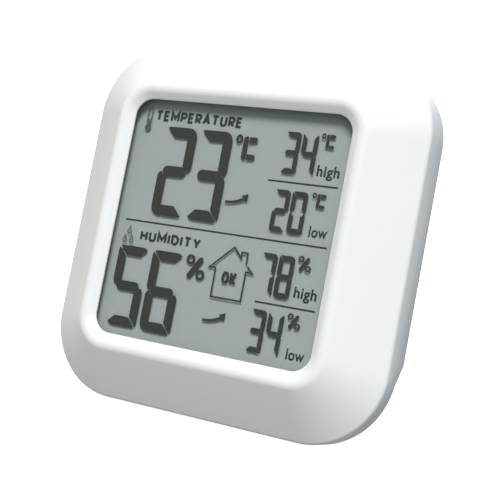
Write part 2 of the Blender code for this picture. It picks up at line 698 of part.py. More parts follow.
def key(name, side):
    """A push switch on the board and the long-stemmed key that presses it through the back."""
    x = side * KEY_X
    half = SWITCH_SIDE / 2
    hole_end = SWITCH_REAR + PLUNGER_STANDS + KEY_TRAVEL
    body = piece(
        f"{name}_switch_body",
        block((-half, -half, SWITCH_REAR), (half, half, BOARD_REAR - TOUCH), 0.3 * MM),
        BLACK,
        location=(x, KEY_Y, 0),
    )
    well = rod(PLUNGER_RADIUS + CLEAR, (x, KEY_Y, SWITCH_REAR - MM), (x, KEY_Y, hole_end + TOUCH))
    cut(body, tool("switch well", well))
    plunger = rod(PLUNGER_RADIUS, (0, 0, PLUNGER_REAR), (0, 0, hole_end - KEY_TRAVEL))
    piece(f"{name}_switch_plunger", plunger, BLACK, location=(x, KEY_Y, 0))
    top = BACK - KEY_PROUD
    flange = BACK_INSIDE + CLEAR
    profile = (
        (0, PLUNGER_REAR - TOUCH),
        (1.2 * MM, PLUNGER_REAR - TOUCH),
        (1.2 * MM, flange + 0.8 * MM),
        (KEY_RADIUS + 1 * MM, flange + 0.8 * MM),
        (KEY_RADIUS + 1 * MM, flange),
        (KEY_RADIUS, flange),
        (KEY_RADIUS, top + 0.4 * MM),
        (KEY_RADIUS - 0.4 * MM, top),
        (0, top),
    )
    piece(f"{name}_button", turned(profile), GREY, location=(x, KEY_Y, 0))


# Battery -------------------------------------------------------------------------------------------------------------


def battery():
    """The cell in its bay, its two contacts and the leads from them to the board."""
    body = CELL_LONG - CELL_NUB
    profile = (
        (0, CELL_LONG),
        (1.9 * MM, CELL_LONG),
        (1.9 * MM, body),
        (CELL_RADIUS - 0.7 * MM, body),
        (CELL_RADIUS, body - 0.6 * MM),
        (CELL_RADIUS, 0.5 * MM),
        (CELL_RADIUS - 0.5 * MM, 0),
        (0, 0),
    )
    piece("battery_cell", turned(profile, "X"), CELL, location=(CELL_START, CELL_Y, CELL_Z))
    side = CELL_RADIUS - 0.5 * MM
    contact = piece(
        "positive_contact",
        block((0, -side, -side), (CONTACT_THICK, side, side)),
        SPRING_STEEL,
        location=(CONTACT_FACE, CELL_Y, CELL_Z),
    )
    dimple = rod(1.6 * MM, (CONTACT_FACE - 0.2 * MM, CELL_Y, CELL_Z), (CONTACT_FACE + 0.2 * MM, CELL_Y, CELL_Z))
    join(contact, tool("contact dimple", dimple))
    negative_spring()
    for name, side, material in (("positive_lead", 1, RED), ("negative_lead", -1, BLACK)):
        lead(name, side, material)


def curve_piece(name, points, radius, material):
    """A wire along points, made a closed mesh."""
    data = bpy.data.curves.new(f"{name} line", "CURVE")
    data.dimensions = "3D"
    data.bevel_depth = radius
    data.bevel_resolution = 2
    data.use_fill_caps = True
    spline = data.splines.new("POLY")
    spline.points.add(len(points) - 1)
    for point, place in zip(spline.points, points):
        point.co = (*place, 1)
    line = bpy.data.objects.new(f"{name} line", data)
    bpy.context.scene.collection.objects.link(line)
    bpy.context.view_layer.update()
    mesh = bpy.data.meshes.new_from_object(line.evaluated_get(bpy.context.evaluated_depsgraph_get()))
    bpy.data.objects.remove(line)
    shape = bmesh.new()
    shape.from_mesh(mesh)
    bmesh.ops.remove_doubles(shape, verts=shape.verts, dist=1e-6)
    bmesh.ops.recalc_face_normals(shape, faces=shape.faces)
    return piece(name, shape, material)


def negative_spring():
    """The conical coil that presses on the cell's flat end."""
    wire = 0.3 * MM
    turns, per_turn = 4, 12
    start = -BAY_HALF + CLEAR + wire
    end = CELL_START - CLEAR - wire
    points = []
    for step in range(turns * per_turn + 1):
        share = step / (turns * per_turn)
        radius = (4.2 - 2.2 * share) * MM
        angle = 2 * pi * turns * share
        points.append(
            Vector((start + (end - start) * share, CELL_Y + radius * cos(angle), CELL_Z + radius * sin(angle)))
        )
    curve_piece("negative_spring", points, wire, SPRING_STEEL)


def lead(name, side, material):
    """A lead from the bay, through the bay's lower wall, down to the board."""
    start = Vector((side * LEAD_X, CELL_Y - BAY_RADIUS + CLEAR + LEAD_RADIUS, LEAD_Z))
    end = Vector((side * LEAD_X, KEY_Y + SWITCH_SIDE / 2 + 4 * MM, BOARD_REAR - LEAD_RADIUS - TOUCH))
    straight = start - Vector((0, BAY_WALL + COVER_LAP + CLEAR + MM, 0))
    bend = Vector((0, -2.5 * MM, 0))
    points = [start, *interpolate_bezier(straight, straight + bend, end - bend, end, 8)]
    curve_piece(name, points, LEAD_RADIUS, material)


def case_screws():
    """The four screws that hold the back on."""
    index = 0
    for y in CASE_SCREW_HEIGHTS:
        for x in (-CASE_SCREW_X, CASE_SCREW_X):
            index += 1
            seat = rim_z(y) + SCREW_HEAD_TALL + CLEAR / 2
            screw(f"case_screw_{index}", x, y, seat, CASE_SCREW_RADIUS, CASE_SCREW_LONG, CASE_SCREW_HEAD)


def stand_up():
    """Puts the case's foot on Z = 0 and the whole hygrometer's middle over the origin."""
    FACE.location.z = -FLOOR
    bpy.context.view_layer.update()
    graph = bpy.context.evaluated_depsgraph_get()
    depths = []
    for part in PIECES.objects:
        if part.type == "MESH":
            solid = part.evaluated_get(graph)
            depths += [(solid.matrix_world @ vertex.co).y for vertex in solid.data.vertices]
    FACE.location.y = -(min(depths) + max(depths)) / 2
    bpy.context.view_layer.update()


clear_scene()
PIECES = collection("table_hygrometer")
TOOLS = collection("cutters", hidden=True)
FACE = empty("lean", tip=pi / 2 - LEAN)
HINGE = empty("stand_hinge", FACE, (0, HINGE_Y, HINGE_Z), STAND_SWING)

WHITE = finish("white_abs", (0.84, 0.85, 0.85), 0.38)
GREY = finish("light_grey_abs", (0.55, 0.56, 0.56), 0.45)
BLACK = finish("black_plastic", (0.02, 0.02, 0.02), 0.5)
FOAM = finish("black_foam", (0.015, 0.015, 0.015), 0.95)
FILM = finish("polarizer_film", (0.35, 0.38, 0.36), 0.35, clear=0.6)
GLASS = finish("display_glass", (0.9, 0.95, 0.93), 0.05, clear=1.0)
REFLECTOR = finish("display_reflector", (0.34, 0.39, 0.38), 0.55)
RUBBER = finish("contact_rubber", (0.3, 0.3, 0.32), 0.8)
BOARD = finish("circuit_board", (0.02, 0.12, 0.04), 0.45)
EPOXY = finish("black_epoxy", (0.01, 0.01, 0.01), 0.3)
STEEL = finish("zinc_plated_steel", (0.6, 0.6, 0.6), 0.3, metallic=1.0)
SPRING_STEEL = finish("nickel_plated_steel", (0.65, 0.63, 0.6), 0.25, metallic=1.0)
CAN = finish("capacitor_sleeve", (0.02, 0.03, 0.1), 0.35)
CERAMIC = finish("ceramic", (0.45, 0.33, 0.2), 0.5)
SENSOR = finish("sensor_housing", (0.75, 0.78, 0.8), 0.5)
CELL = finish("cell_jacket", (0.1, 0.28, 0.15), 0.3)
RED = finish("red_insulation", (0.5, 0.02, 0.02), 0.45)

FLOOR_CUT = tool(
    "floor",
    block((-2 * HALF, -2 * HALF, -HALF), (2 * HALF, 2 * HALF, 0)),
    location=(0, FLOOR * cos(LEAN), FLOOR * sin(LEAN)),
)
FLOOR_CUT.rotation_euler.x = LEAN - pi / 2

front_shell()
rear_shell()
battery_cover()
kickstand()
display()
display_holder()
main_board()
board_parts()
key("unit", 1)
key("clear", -1)
battery()
case_screws()
stand_up()
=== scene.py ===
"""Looks of the table thermo-hygrometer: finished shells, the display's segments and words, materials and studio.

All shapes are made in the face frame (X right, Y up the face, Z out of it, origin in the middle of the display's
window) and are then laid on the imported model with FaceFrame. Sizes are in metres.
"""

import logging
from collections.abc import Sequence
from dataclasses import dataclass
from enum import Enum
from math import atan2, cos, pi, radians, sin, tan

import bmesh
import bpy
from mathutils import Euler, Matrix, Vector


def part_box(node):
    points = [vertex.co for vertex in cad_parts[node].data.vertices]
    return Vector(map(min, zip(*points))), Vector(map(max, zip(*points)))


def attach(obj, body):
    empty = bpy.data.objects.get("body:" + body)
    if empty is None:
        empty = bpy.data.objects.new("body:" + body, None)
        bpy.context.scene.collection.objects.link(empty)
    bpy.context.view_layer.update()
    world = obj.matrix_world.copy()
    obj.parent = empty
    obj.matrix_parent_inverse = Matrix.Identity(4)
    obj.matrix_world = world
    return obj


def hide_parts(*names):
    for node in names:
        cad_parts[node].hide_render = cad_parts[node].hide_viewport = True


LOG = logging.getLogger("hygrometer")
MM = 0.001
SAME_POINT = 0.002 * MM
SAME_PLANE = radians(0.6)
SMOOTH_ANGLE = 30.0
FLAT = Matrix.Identity(4)
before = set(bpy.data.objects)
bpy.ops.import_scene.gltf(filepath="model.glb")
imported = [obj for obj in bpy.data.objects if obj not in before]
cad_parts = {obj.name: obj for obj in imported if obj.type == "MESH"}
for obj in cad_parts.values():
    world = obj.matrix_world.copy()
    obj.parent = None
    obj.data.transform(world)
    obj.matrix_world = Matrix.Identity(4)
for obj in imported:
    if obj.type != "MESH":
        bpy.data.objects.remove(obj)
Point = tuple[float, float]
Point3 = tuple[float, float, float]
Polygon = list[Point]


# Face frame ----------------------------------------------------------------------------------------------------


@dataclass(frozen=True)
class FaceFrame:
    """The frame of the leaning face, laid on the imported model.

    Attributes:
        lean: how far the face leans back from upright.
        glass_middle: depth of the front glass's middle behind the window's edge.
    """

    lean: float = radians(22.73)
    glass_middle: float = 1.3 * MM

    @property
    def matrix(self) -> Matrix:
        """Takes a point of the face frame to the row frame."""
        low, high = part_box("front_glass")
        turn = Matrix.Rotation(pi / 2 - self.lean, 4, "X")
        origin = (low + high) / 2 + turn.to_3x3() @ Vector((0, 0, self.glass_middle))
        return Matrix.Translation(origin) @ turn

    def middle(self, node: str) -> Vector:
        """Returns the middle of a CAD node's box, in the face frame."""
        low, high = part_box(node)
        return self.matrix.inverted() @ ((low + high) / 2)


# Mesh tools ----------------------------------------------------------------------------------------------------


def arc(centre: Point, radius: float, start: float, end: float, steps: int) -> Polygon:
    """Points along an arc.

    Args:
        centre: the arc's centre.
        radius: its radius.
        start: first angle in degrees.
        end: last angle in degrees.
        steps: number of equal parts.

    Returns:
        steps + 1 points from start to end.
    """
    angles = (radians(start + (end - start) * step / steps) for step in range(steps + 1))
    return [(centre[0] + radius * cos(a), centre[1] + radius * sin(a)) for a in angles]


def rounded(corners: list[Point3], steps: int) -> list[Vector]:
    """A line through corners, with an arc inside each corner that has a radius.

    Args:
        corners: (x, y, radius) of each corner; the two ends stay sharp.
        steps: parts of each arc.

    Returns:
        The line's points.
    """
    points = []
    for index, (x, y, radius) in enumerate(corners):
        here = Vector((x, y))
        if radius == 0 or index in (0, len(corners) - 1):
            points.append(here)
            continue
        before = (Vector(corners[index - 1][:2]) - here).normalized()
        after = (Vector(corners[index + 1][:2]) - here).normalized()
        half = before.angle(after) / 2
        centre = here + (before + after).normalized() * radius / sin(half)
        start = here + before * radius / tan(half) - centre
        end = here + after * radius / tan(half) - centre
        first = atan2(start.y, start.x)
        sweep = atan2(start.x * end.y - start.y * end.x, start.dot(end))
        for step in range(steps + 1):
            angle = first + sweep * step / steps
            points.append(centre + radius * Vector((cos(angle), sin(angle))))
    return points


def outline(half: float, radius: float, stop: float, steps: int) -> Polygon:
    """A square with round corners, anticlockwise, with one extra point on each side.

    Args:
        half: half the square's side.
        radius: corner radius.
        stop: height of the extra point on the right and left sides.
        steps: parts of each corner's arc.

    Returns:
        The outline's points.
    """
    points = [(half, stop)]
    for index, (right, up) in enumerate(((1, 1), (-1, 1), (-1, -1), (1, -1))):
        if index == 2:
            points.append((-half, stop))
        centre = (right * (half - radius), up * (half - radius))
        points += arc(centre, radius, 90 * index, 90 * index + 90, steps)
    return points


def loft(rings: list[list[Vector]]) -> bmesh.types.BMesh:
    """A closed skin through rings of equally many points, from the last ring back to the first.

    Args:
        rings: the rings, in order along the skin.

    Returns:
        The skin.
    """
    shape = bmesh.new()
    loops = [[shape.verts.new(point) for point in ring] for ring in rings]
    for one, two in zip(loops, loops[1:] + loops[:1]):
        for i in range(len(one)):
            shape.faces.new((one[i - 1], one[i], two[i], two[i - 1]))
    bmesh.ops.recalc_face_normals(shape, faces=shape.faces)
    return shape


def block(low: Vector, high: Vector) -> bmesh.types.BMesh:
    """A box.

    Args:
        low: its lowest corner.
        high: its highest corner.

    Returns:
        The box.
    """
    shape = bmesh.new()
    bmesh.ops.create_cube(shape, size=1)
    bmesh.ops.scale(shape, vec=high - low, verts=shape.verts)
    bmesh.ops.translate(shape, vec=(low + high) / 2, verts=shape.verts)
    return shape


def rod(radius: float, start: Vector, end: Vector, sides: int = 32) -> bmesh.types.BMesh:
    """A cylinder along Z.

    Args:
        radius: its radius.
        start: the middle of one end.
        end: the middle of the other, above or below the first.
        sides: number of its sides.

    Returns:
        The cylinder.
    """
    shape = bmesh.new()
    depth = abs(end.z - start.z)
    bmesh.ops.create_cone(shape, cap_ends=True, segments=sides, radius1=radius, radius2=radius, depth=depth)
    bmesh.ops.translate(shape, vec=(start + end) / 2, verts=shape.verts)
    return shape


def new_object(name: str, shape: bmesh.types.BMesh, place: Matrix) -> bpy.types.Object:
    """Makes an object of a bmesh, with its place in its mesh.

    Args:
        name: the object's name.
        shape: the bmesh, which is freed.
        place: matrix from the bmesh's frame to the row frame.

    Returns:
        The object, at the origin.
    """
    mesh = bpy.data.meshes.new(name)
    shape.to_mesh(mesh)
    shape.free()
    mesh.transform(place)
    made = bpy.data.objects.new(name, mesh)
    bpy.context.scene.collection.objects.link(made)
    return made


def settle(piece: bpy.types.Object) -> None:
    """Replaces a piece's mesh by the one that its modifiers make, and removes them.

    Args:
        piece: the object to change.
    """
    bpy.context.view_layer.update()
    graph = bpy.context.evaluated_depsgraph_get()
    mesh = bpy.data.meshes.new_from_object(piece.evaluated_get(graph))
    piece.modifiers.clear()
    piece.data = mesh


def combine(piece: bpy.types.Object, operation: str, tools: list[bpy.types.Object]) -> None:
    """Joins tools to a piece, or cuts them from it, and removes them.

    Args:
        piece: the object to change.
        operation: UNION or DIFFERENCE.
        tools: the objects to use up.
    """
    for tool in tools:
        modifier = piece.modifiers.new(operation.lower(), "BOOLEAN")
        modifier.operation = operation
        modifier.object = tool
    settle(piece)
    for tool in tools:
        bpy.data.objects.remove(tool)


def shade(piece: bpy.types.Object, angle: float) -> None:
    """Shades a piece smooth where its faces meet at less than angle, in degrees."""
    piece.data.shade_smooth()
    piece.data.set_sharp_from_angle(angle=radians(angle))


def soften(piece: bpy.types.Object, width: float) -> None:
    """Rounds a piece's sharp edges.

    Args:
        piece: the object to change.
        width: how far each edge is cut back.
    """
    bevel = piece.modifiers.new("edges", "BEVEL")
    bevel.width = width
    bevel.segments = 3
    bevel.limit_method = "ANGLE"
    bevel.angle_limit = radians(SMOOTH_ANGLE)
    bevel.miter_outer = "MITER_ARC"
    settle(piece)


def refined(
    name: str, node: str, width: float, body: str, finish: "Finish", smooth: float = SMOOTH_ANGLE
) -> bpy.types.Object:
    """A finished piece with a CAD node's shape, with its edges rounded.

    Args:
        name: the new piece's name.
        node: the CAD node it stands for.
        width: how far its edges are rounded.
        body: the CAD body it rides on.
        finish: its material.
        smooth: the angle in degrees up to which an edge is shaded smooth.

    Returns:
        The new piece.
    """
    shape = bmesh.new()
    shape.from_mesh(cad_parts[node].data)
    bmesh.ops.remove_doubles(shape, verts=shape.verts, dist=SAME_POINT)
    bmesh.ops.dissolve_limit(shape, angle_limit=SAME_PLANE, verts=shape.verts, edges=shape.edges)
    piece = new_object(name, shape, FLAT)
    if width:
        soften(piece, width)
    shade(piece, smooth)
    weigh = piece.modifiers.new("normals", "WEIGHTED_NORMAL")
    weigh.keep_sharp = True
    weigh.weight = 100
    settle(piece)
    return dress(piece, finish, body, node)


def dress(piece: bpy.types.Object, finish: "Finish", body: str, *nodes: str) -> bpy.types.Object:
    """Gives a piece its material and its body.

    Args:
        piece: the object.
        finish: its material.
        body: the CAD body it rides on.
        nodes: the CAD nodes it stands for.

    Returns:
        The same object.
    """
    piece.data.materials.clear()
    piece.data.materials.append(finish.material())
    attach(piece, body)
    if nodes:
        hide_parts(*nodes)
    LOG.info("made %s on %s", piece.name, body)
    return piece


# Materials -----------------------------------------------------------------------------------------------------


def wire(links: bpy.types.NodeLinks, *runs: tuple[bpy.types.Node, str | int, bpy.types.Node, str | int]) -> None:
    """Links nodes.

    Args:
        links: the links of their tree.
        runs: each a node, its output, the next node and its input.
    """
    for before, output, after, into in runs:
        links.new(before.outputs[output], after.inputs[into])


def grain_group() -> bpy.types.NodeTree:
    """The shared surface grain: a fine spark-eroded grain and a slow variation.

    Returns:
        The node group, which is made once.
    """
    name = "moulding_grain"
    if name in bpy.data.node_groups:
        return bpy.data.node_groups[name]
    tree = bpy.data.node_groups.new(name, "ShaderNodeTree")
    for socket, value in (("Grain Scale", 9000.0), ("Patch Scale", 60.0), ("Roughness", 0.4), ("Spread", 0.1)):
        made = tree.interface.new_socket(socket, in_out="INPUT", socket_type="NodeSocketFloat")
        made.default_value = value
    for socket in ("Height", "Patches", "Roughness"):
        tree.interface.new_socket(socket, in_out="OUTPUT", socket_type="NodeSocketFloat")
    nodes, links = tree.nodes, tree.links
    start, end = nodes.new("NodeGroupInput"), nodes.new("NodeGroupOutput")
    place = nodes.new("ShaderNodeTexCoord")
    fine, broad = nodes.new("ShaderNodeTexNoise"), nodes.new("ShaderNodeTexNoise")
    fine.inputs["Detail"].default_value = 3
    broad.inputs["Detail"].default_value = 4
    for noise, scale in ((fine, "Grain Scale"), (broad, "Patch Scale")):
        wire(links, (place, "Object", noise, "Vector"), (start, scale, noise, "Scale"))
    centre = nodes.new("ShaderNodeMath")
    centre.operation = "SUBTRACT"
    centre.inputs[1].default_value = 0.5
    spread = nodes.new("ShaderNodeMath")
    spread.operation = "MULTIPLY_ADD"
    wire(
        links,
        (broad, "Fac", centre, 0),
        (centre, 0, spread, 0),
        (start, "Spread", spread, 1),
        (start, "Roughness", spread, 2),
        (fine, "Fac", end, "Height"),
        (broad, "Fac", end, "Patches"),
        (spread, 0, end, "Roughness"),
    )
    return tree


class Pattern(Enum):
    """What is drawn over a finish's base colour."""

    PLAIN = "plain"
    BANDS = "bands"
    TRACES = "traces"
    CELLS = "cells"
    BRUSHED = "brushed"


@dataclass(frozen=True)
class Finish:
    """A surface finish, made into one material the first time it is used.

    Attributes:
        name: the material's name.
        colour: linear base colour.
        second: the colour that the pattern and the slow variation lead to.
        roughness: middle roughness.
        spread: how much the roughness varies.
        grain: size of the fine grain.
        depth: height of the fine grain.
        pattern: what is drawn over the base colour.
        pattern_scale: the pattern's scale, in repeats a metre.
        mix: how strongly the second colour shows in a plain finish.
        metallic: 1 for a bare metal.
        alpha: how solid it looks.
        coat: weight of a clear coat.
        slot: name of a material slot; not used.
    """

    name: str
    colour: Point3
    second: Point3
    roughness: float = 0.4
    spread: float = 0.1
    grain: float = 0.11 * MM
    depth: float = 0.004 * MM
    pattern: Pattern = Pattern.PLAIN
    pattern_scale: float = 500.0
    mix: float = 0.5
    metallic: float = 0.0
    alpha: float = 1.0
    coat: float = 0.0
    slot: str = ""

    def material(self) -> bpy.types.Material:
        """Returns the finish's material, which is made once."""
        name = f"{self.name}_finish"
        if name in bpy.data.materials:
            return bpy.data.materials[name]
        made = bpy.data.materials.new(name)
        made.use_nodes = True
        nodes, links = made.node_tree.nodes, made.node_tree.links
        shader = nodes["Principled BSDF"]
        shader.inputs["Metallic"].default_value = self.metallic
        shader.inputs["Alpha"].default_value = self.alpha
        shader.inputs["Coat Weight"].default_value = self.coat
        shader.inputs["Coat Roughness"].default_value = 0.15
        grain = nodes.new("ShaderNodeGroup")
        grain.node_tree = grain_group()
        grain.inputs["Grain Scale"].default_value = 1 / self.grain
        grain.inputs["Roughness"].default_value = self.roughness
        grain.inputs["Spread"].default_value = self.spread
        wire(links, (grain, "Roughness", shader, "Roughness"))
        bump = nodes.new("ShaderNodeBump")
        bump.inputs["Strength"].default_value = 1.0
        bump.inputs["Distance"].default_value = self.depth
        wire(links, (grain, "Height", bump, "Height"), (bump, "Normal", shader, "Normal"))
        blend = nodes.new("ShaderNodeMix")
        blend.data_type = "RGBA"
        blend.inputs["A"].default_value = (*self.colour, 1)
        blend.inputs["B"].default_value = (*self.second, 1)
        links.new(self._mask(made.node_tree, grain), blend.inputs["Factor"])
        wire(links, (blend, "Result", shader, "Base Color"))
        return made

    def _mask(self, tree: bpy.types.NodeTree, grain: bpy.types.Node) -> bpy.types.NodeSocket:
        """Adds the nodes that say where the second colour shows.

        Args:
            tree: the material's node tree.
            grain: the grain group's node in it.

        Returns:
            The socket to mix the two colours by.
        """
        nodes, links = tree.nodes, tree.links
        if self.pattern is Pattern.PLAIN:
            soft = nodes.new("ShaderNodeMath")
            soft.operation = "MULTIPLY"
            soft.inputs[1].default_value = self.mix
            wire(links, (grain, "Patches", soft, 0))
            return soft.outputs[0]
        place = nodes.new("ShaderNodeTexCoord")
        if self.pattern is Pattern.CELLS:
            cells = nodes.new("ShaderNodeTexVoronoi")
            cells.inputs["Scale"].default_value = self.pattern_scale
            wire(links, (place, "Object", cells, "Vector"))
            return cells.outputs["Distance"]
        if self.pattern is Pattern.TRACES:
            cells = nodes.new("ShaderNodeTexBrick")
            cells.inputs["Scale"].default_value = self.pattern_scale
            cells.inputs["Mortar Size"].default_value = 0.08
            wire(links, (place, "Object", cells, "Vector"))
            return cells.outputs["Fac"]
        bands = nodes.new("ShaderNodeTexWave")
        bands.bands_direction = "X"
        bands.inputs["Scale"].default_value = self.pattern_scale
        bands.inputs["Distortion"].default_value = 4.0 if self.pattern is Pattern.BRUSHED else 0.0
        wire(links, (place, "Object", bands, "Vector"))
        if self.pattern is not Pattern.BANDS:
            return bands.outputs["Fac"]
        step = nodes.new("ShaderNodeMath")
        step.operation = "GREATER_THAN"
        step.inputs[1].default_value = 0.5
        wire(links, (bands, "Fac", step, 0))
        return step.outputs[0]


WHITE = Finish("white_abs", (0.83, 0.84, 0.845), (0.85, 0.855, 0.85), 0.36, 0.08, slot="white_abs")
REAR_WHITE = Finish(
    "textured_white_abs", (0.80, 0.81, 0.81), (0.83, 0.835, 0.83), 0.5, 0.1, 0.25 * MM, 0.012 * MM, slot="white_abs"
)
GREY = Finish("light_grey_abs", (0.50, 0.51, 0.52), (0.55, 0.56, 0.56), 0.45, slot="light_grey_abs")
BLACK = Finish("black_plastic", (0.012, 0.012, 0.013), (0.03, 0.03, 0.03), 0.5, slot="black_plastic")
FOAM = Finish(
    "black_foam", (0.006, 0.006, 0.006), (0.03, 0.03, 0.03), 0.95, 0.05, 0.2 * MM, 0.05 * MM,
    Pattern.CELLS, 4000, slot="black_foam",
)
FILM = Finish("polarizer_film", (0.2, 0.22, 0.21), (0.22, 0.24, 0.23), 0.4, alpha=0.04, slot="polarizer_film")
GLASS = Finish(
    "display_glass", (0.2, 0.25, 0.23), (0.22, 0.27, 0.25), 0.08, 0.02, depth=0.0002 * MM, alpha=0.02,
    slot="display_glass",
)
REFLECTOR = Finish(
    "display_reflector", (0.34, 0.387, 0.383), (0.36, 0.407, 0.403), 0.65, 0.1, 0.18 * MM, 0.006 * MM,
    slot="display_reflector",
)
SEGMENT = Finish("lit_segment", (0.006, 0.007, 0.003), (0.010, 0.011, 0.006), 0.7, 0.1, depth=0.001 * MM)
FAINT = Finish("faint_segment", (0.06, 0.066, 0.062), (0.08, 0.088, 0.084), 0.7, 0.1, depth=0.001 * MM)
RUBBER = Finish(
    "contact_rubber", (0.05, 0.05, 0.055), (0.45, 0.45, 0.47), 0.8, pattern=Pattern.BANDS, pattern_scale=600,
    slot="contact_rubber",
)
BOARD = Finish(
    "circuit_board", (0.012, 0.10, 0.035), (0.03, 0.17, 0.06), 0.4, pattern=Pattern.TRACES, pattern_scale=120,
    coat=0.3, slot="circuit_board",
)
COPPER = Finish("tinned_pad", (0.62, 0.58, 0.5), (0.7, 0.67, 0.6), 0.3, metallic=1.0)
EPOXY = Finish("black_epoxy", (0.008, 0.008, 0.009), (0.02, 0.02, 0.02), 0.25, coat=0.4, slot="black_epoxy")
STEEL = Finish(
    "zinc_plated_steel", (0.58, 0.59, 0.61), (0.68, 0.68, 0.68), 0.32, 0.15, pattern=Pattern.BRUSHED,
    pattern_scale=900, metallic=1.0, slot="zinc_plated_steel",
)
NICKEL = Finish(
    "nickel_plated_steel", (0.62, 0.60, 0.56), (0.7, 0.68, 0.65), 0.22, 0.15, pattern=Pattern.BRUSHED,
    pattern_scale=1200, metallic=1.0, slot="nickel_plated_steel",
)
CAN = Finish("capacitor_sleeve", (0.015, 0.02, 0.07), (0.03, 0.04, 0.11), 0.3, coat=0.3, slot="capacitor_sleeve")
CERAMIC = Finish("fired_ceramic", (0.42, 0.3, 0.18), (0.5, 0.38, 0.25), 0.5, slot="ceramic")
SENSOR = Finish("sensor_housing", (0.72, 0.75, 0.78), (0.78, 0.8, 0.82), 0.5, slot="sensor_housing")
CELL = Finish("cell_jacket", (0.07, 0.24, 0.12), (0.10, 0.30, 0.16), 0.28, coat=0.5, mix=0.8, slot="cell_jacket")
RED = Finish("red_insulation", (0.45, 0.015, 0.015), (0.55, 0.03, 0.03), 0.4, slot="red_insulation")
BLACK_WIRE = Finish("black_insulation", (0.01, 0.01, 0.01), (0.025, 0.025, 0.025), 0.4, slot="black_insulation")


# Rows made with Geometry Nodes ---------------------------------------------------------------------------------


def row_tree() -> bpy.types.NodeTree:
    """The node tree of a row of equal blocks, with inputs for their number, spacing, size and material.

    Returns:
        The node tree, which is made once.
    """
    name = "row_of_blocks"
    if name in bpy.data.node_groups:
        return bpy.data.node_groups[name]
    tree = bpy.data.node_groups.new(name, "GeometryNodeTree")
    kinds = (
        ("Count", "NodeSocketInt"),
        ("Start", "NodeSocketVector"),
        ("Step", "NodeSocketVector"),
        ("Size", "NodeSocketVector"),
        ("Material", "NodeSocketMaterial"),
    )
    for socket, kind in kinds:
        tree.interface.new_socket(socket, in_out="INPUT", socket_type=kind)
    tree.interface.new_socket("Geometry", in_out="OUTPUT", socket_type="NodeSocketGeometry")
    nodes, links = tree.nodes, tree.links
    start, end = nodes.new("NodeGroupInput"), nodes.new("NodeGroupOutput")
    line = nodes.new("GeometryNodeMeshLine")
    cube = nodes.new("GeometryNodeMeshCube")
    spread = nodes.new("GeometryNodeInstanceOnPoints")
    real = nodes.new("GeometryNodeRealizeInstances")
    paint = nodes.new("GeometryNodeSetMaterial")
    wire(
        links,
        (start, "Count", line, "Count"),
        (start, "Start", line, "Start Location"),
        (start, "Step", line, "Offset"),
        (start, "Size", cube, "Size"),
        (line, "Mesh", spread, "Points"),
        (cube, "Mesh", spread, "Instance"),
        (spread, "Instances", real, "Geometry"),
        (real, "Geometry", paint, "Geometry"),
        (start, "Material", paint, "Material"),
        (paint, "Geometry", end, "Geometry"),
    )
    return tree


@dataclass(frozen=True)
class BlockRow:
    """A straight row of equal small blocks on the face frame.

    Attributes:
        name: the piece's name.
        start: the first block's middle.
        step: from one block's middle to the next.
        count: number of blocks.
        size: a block's three sides.
    """

    name: str
    start: Vector
    step: Vector
    count: int
    size: Vector

    def make(self, face: FaceFrame, finish: Finish, body: str) -> bpy.types.Object:
        """Builds the row, dresses it and puts it on its body.

        Args:
            face: the frame that the row lies in.
            finish: the blocks' material.
            body: the CAD body that the row rides on.

        Returns:
            The row, as one piece.
        """
        made = new_object(self.name, bmesh.new(), FLAT)
        modifier = made.modifiers.new("row", "NODES")
        modifier.node_group = row_tree()
        values = {
            "Count": self.count,
            "Start": self.start,
            "Step": self.step,
            "Size": self.size,
            "Material": finish.material(),
        }
        for item in modifier.node_group.interface.items_tree:
            if item.in_out == "INPUT":
                modifier[item.identifier] = values[item.name]
        settle(made)
        made.data.transform(face.matrix)
        return dress(made, finish, body)


# Case ----------------------------------------------------------------------------------------------------------


@dataclass(frozen=True)
class Post:
    """One kind of the four equal posts that screws bite into.

    Attributes:
        screw: the screws' name, without their number.
        radius: the post's radius.
        bore: radius of its hole.
        foot: height of its rear end in the face frame.
        deep: depth of its hole.
    """

    screw: str
    radius: float
    bore: float
    foot: float
    deep: float


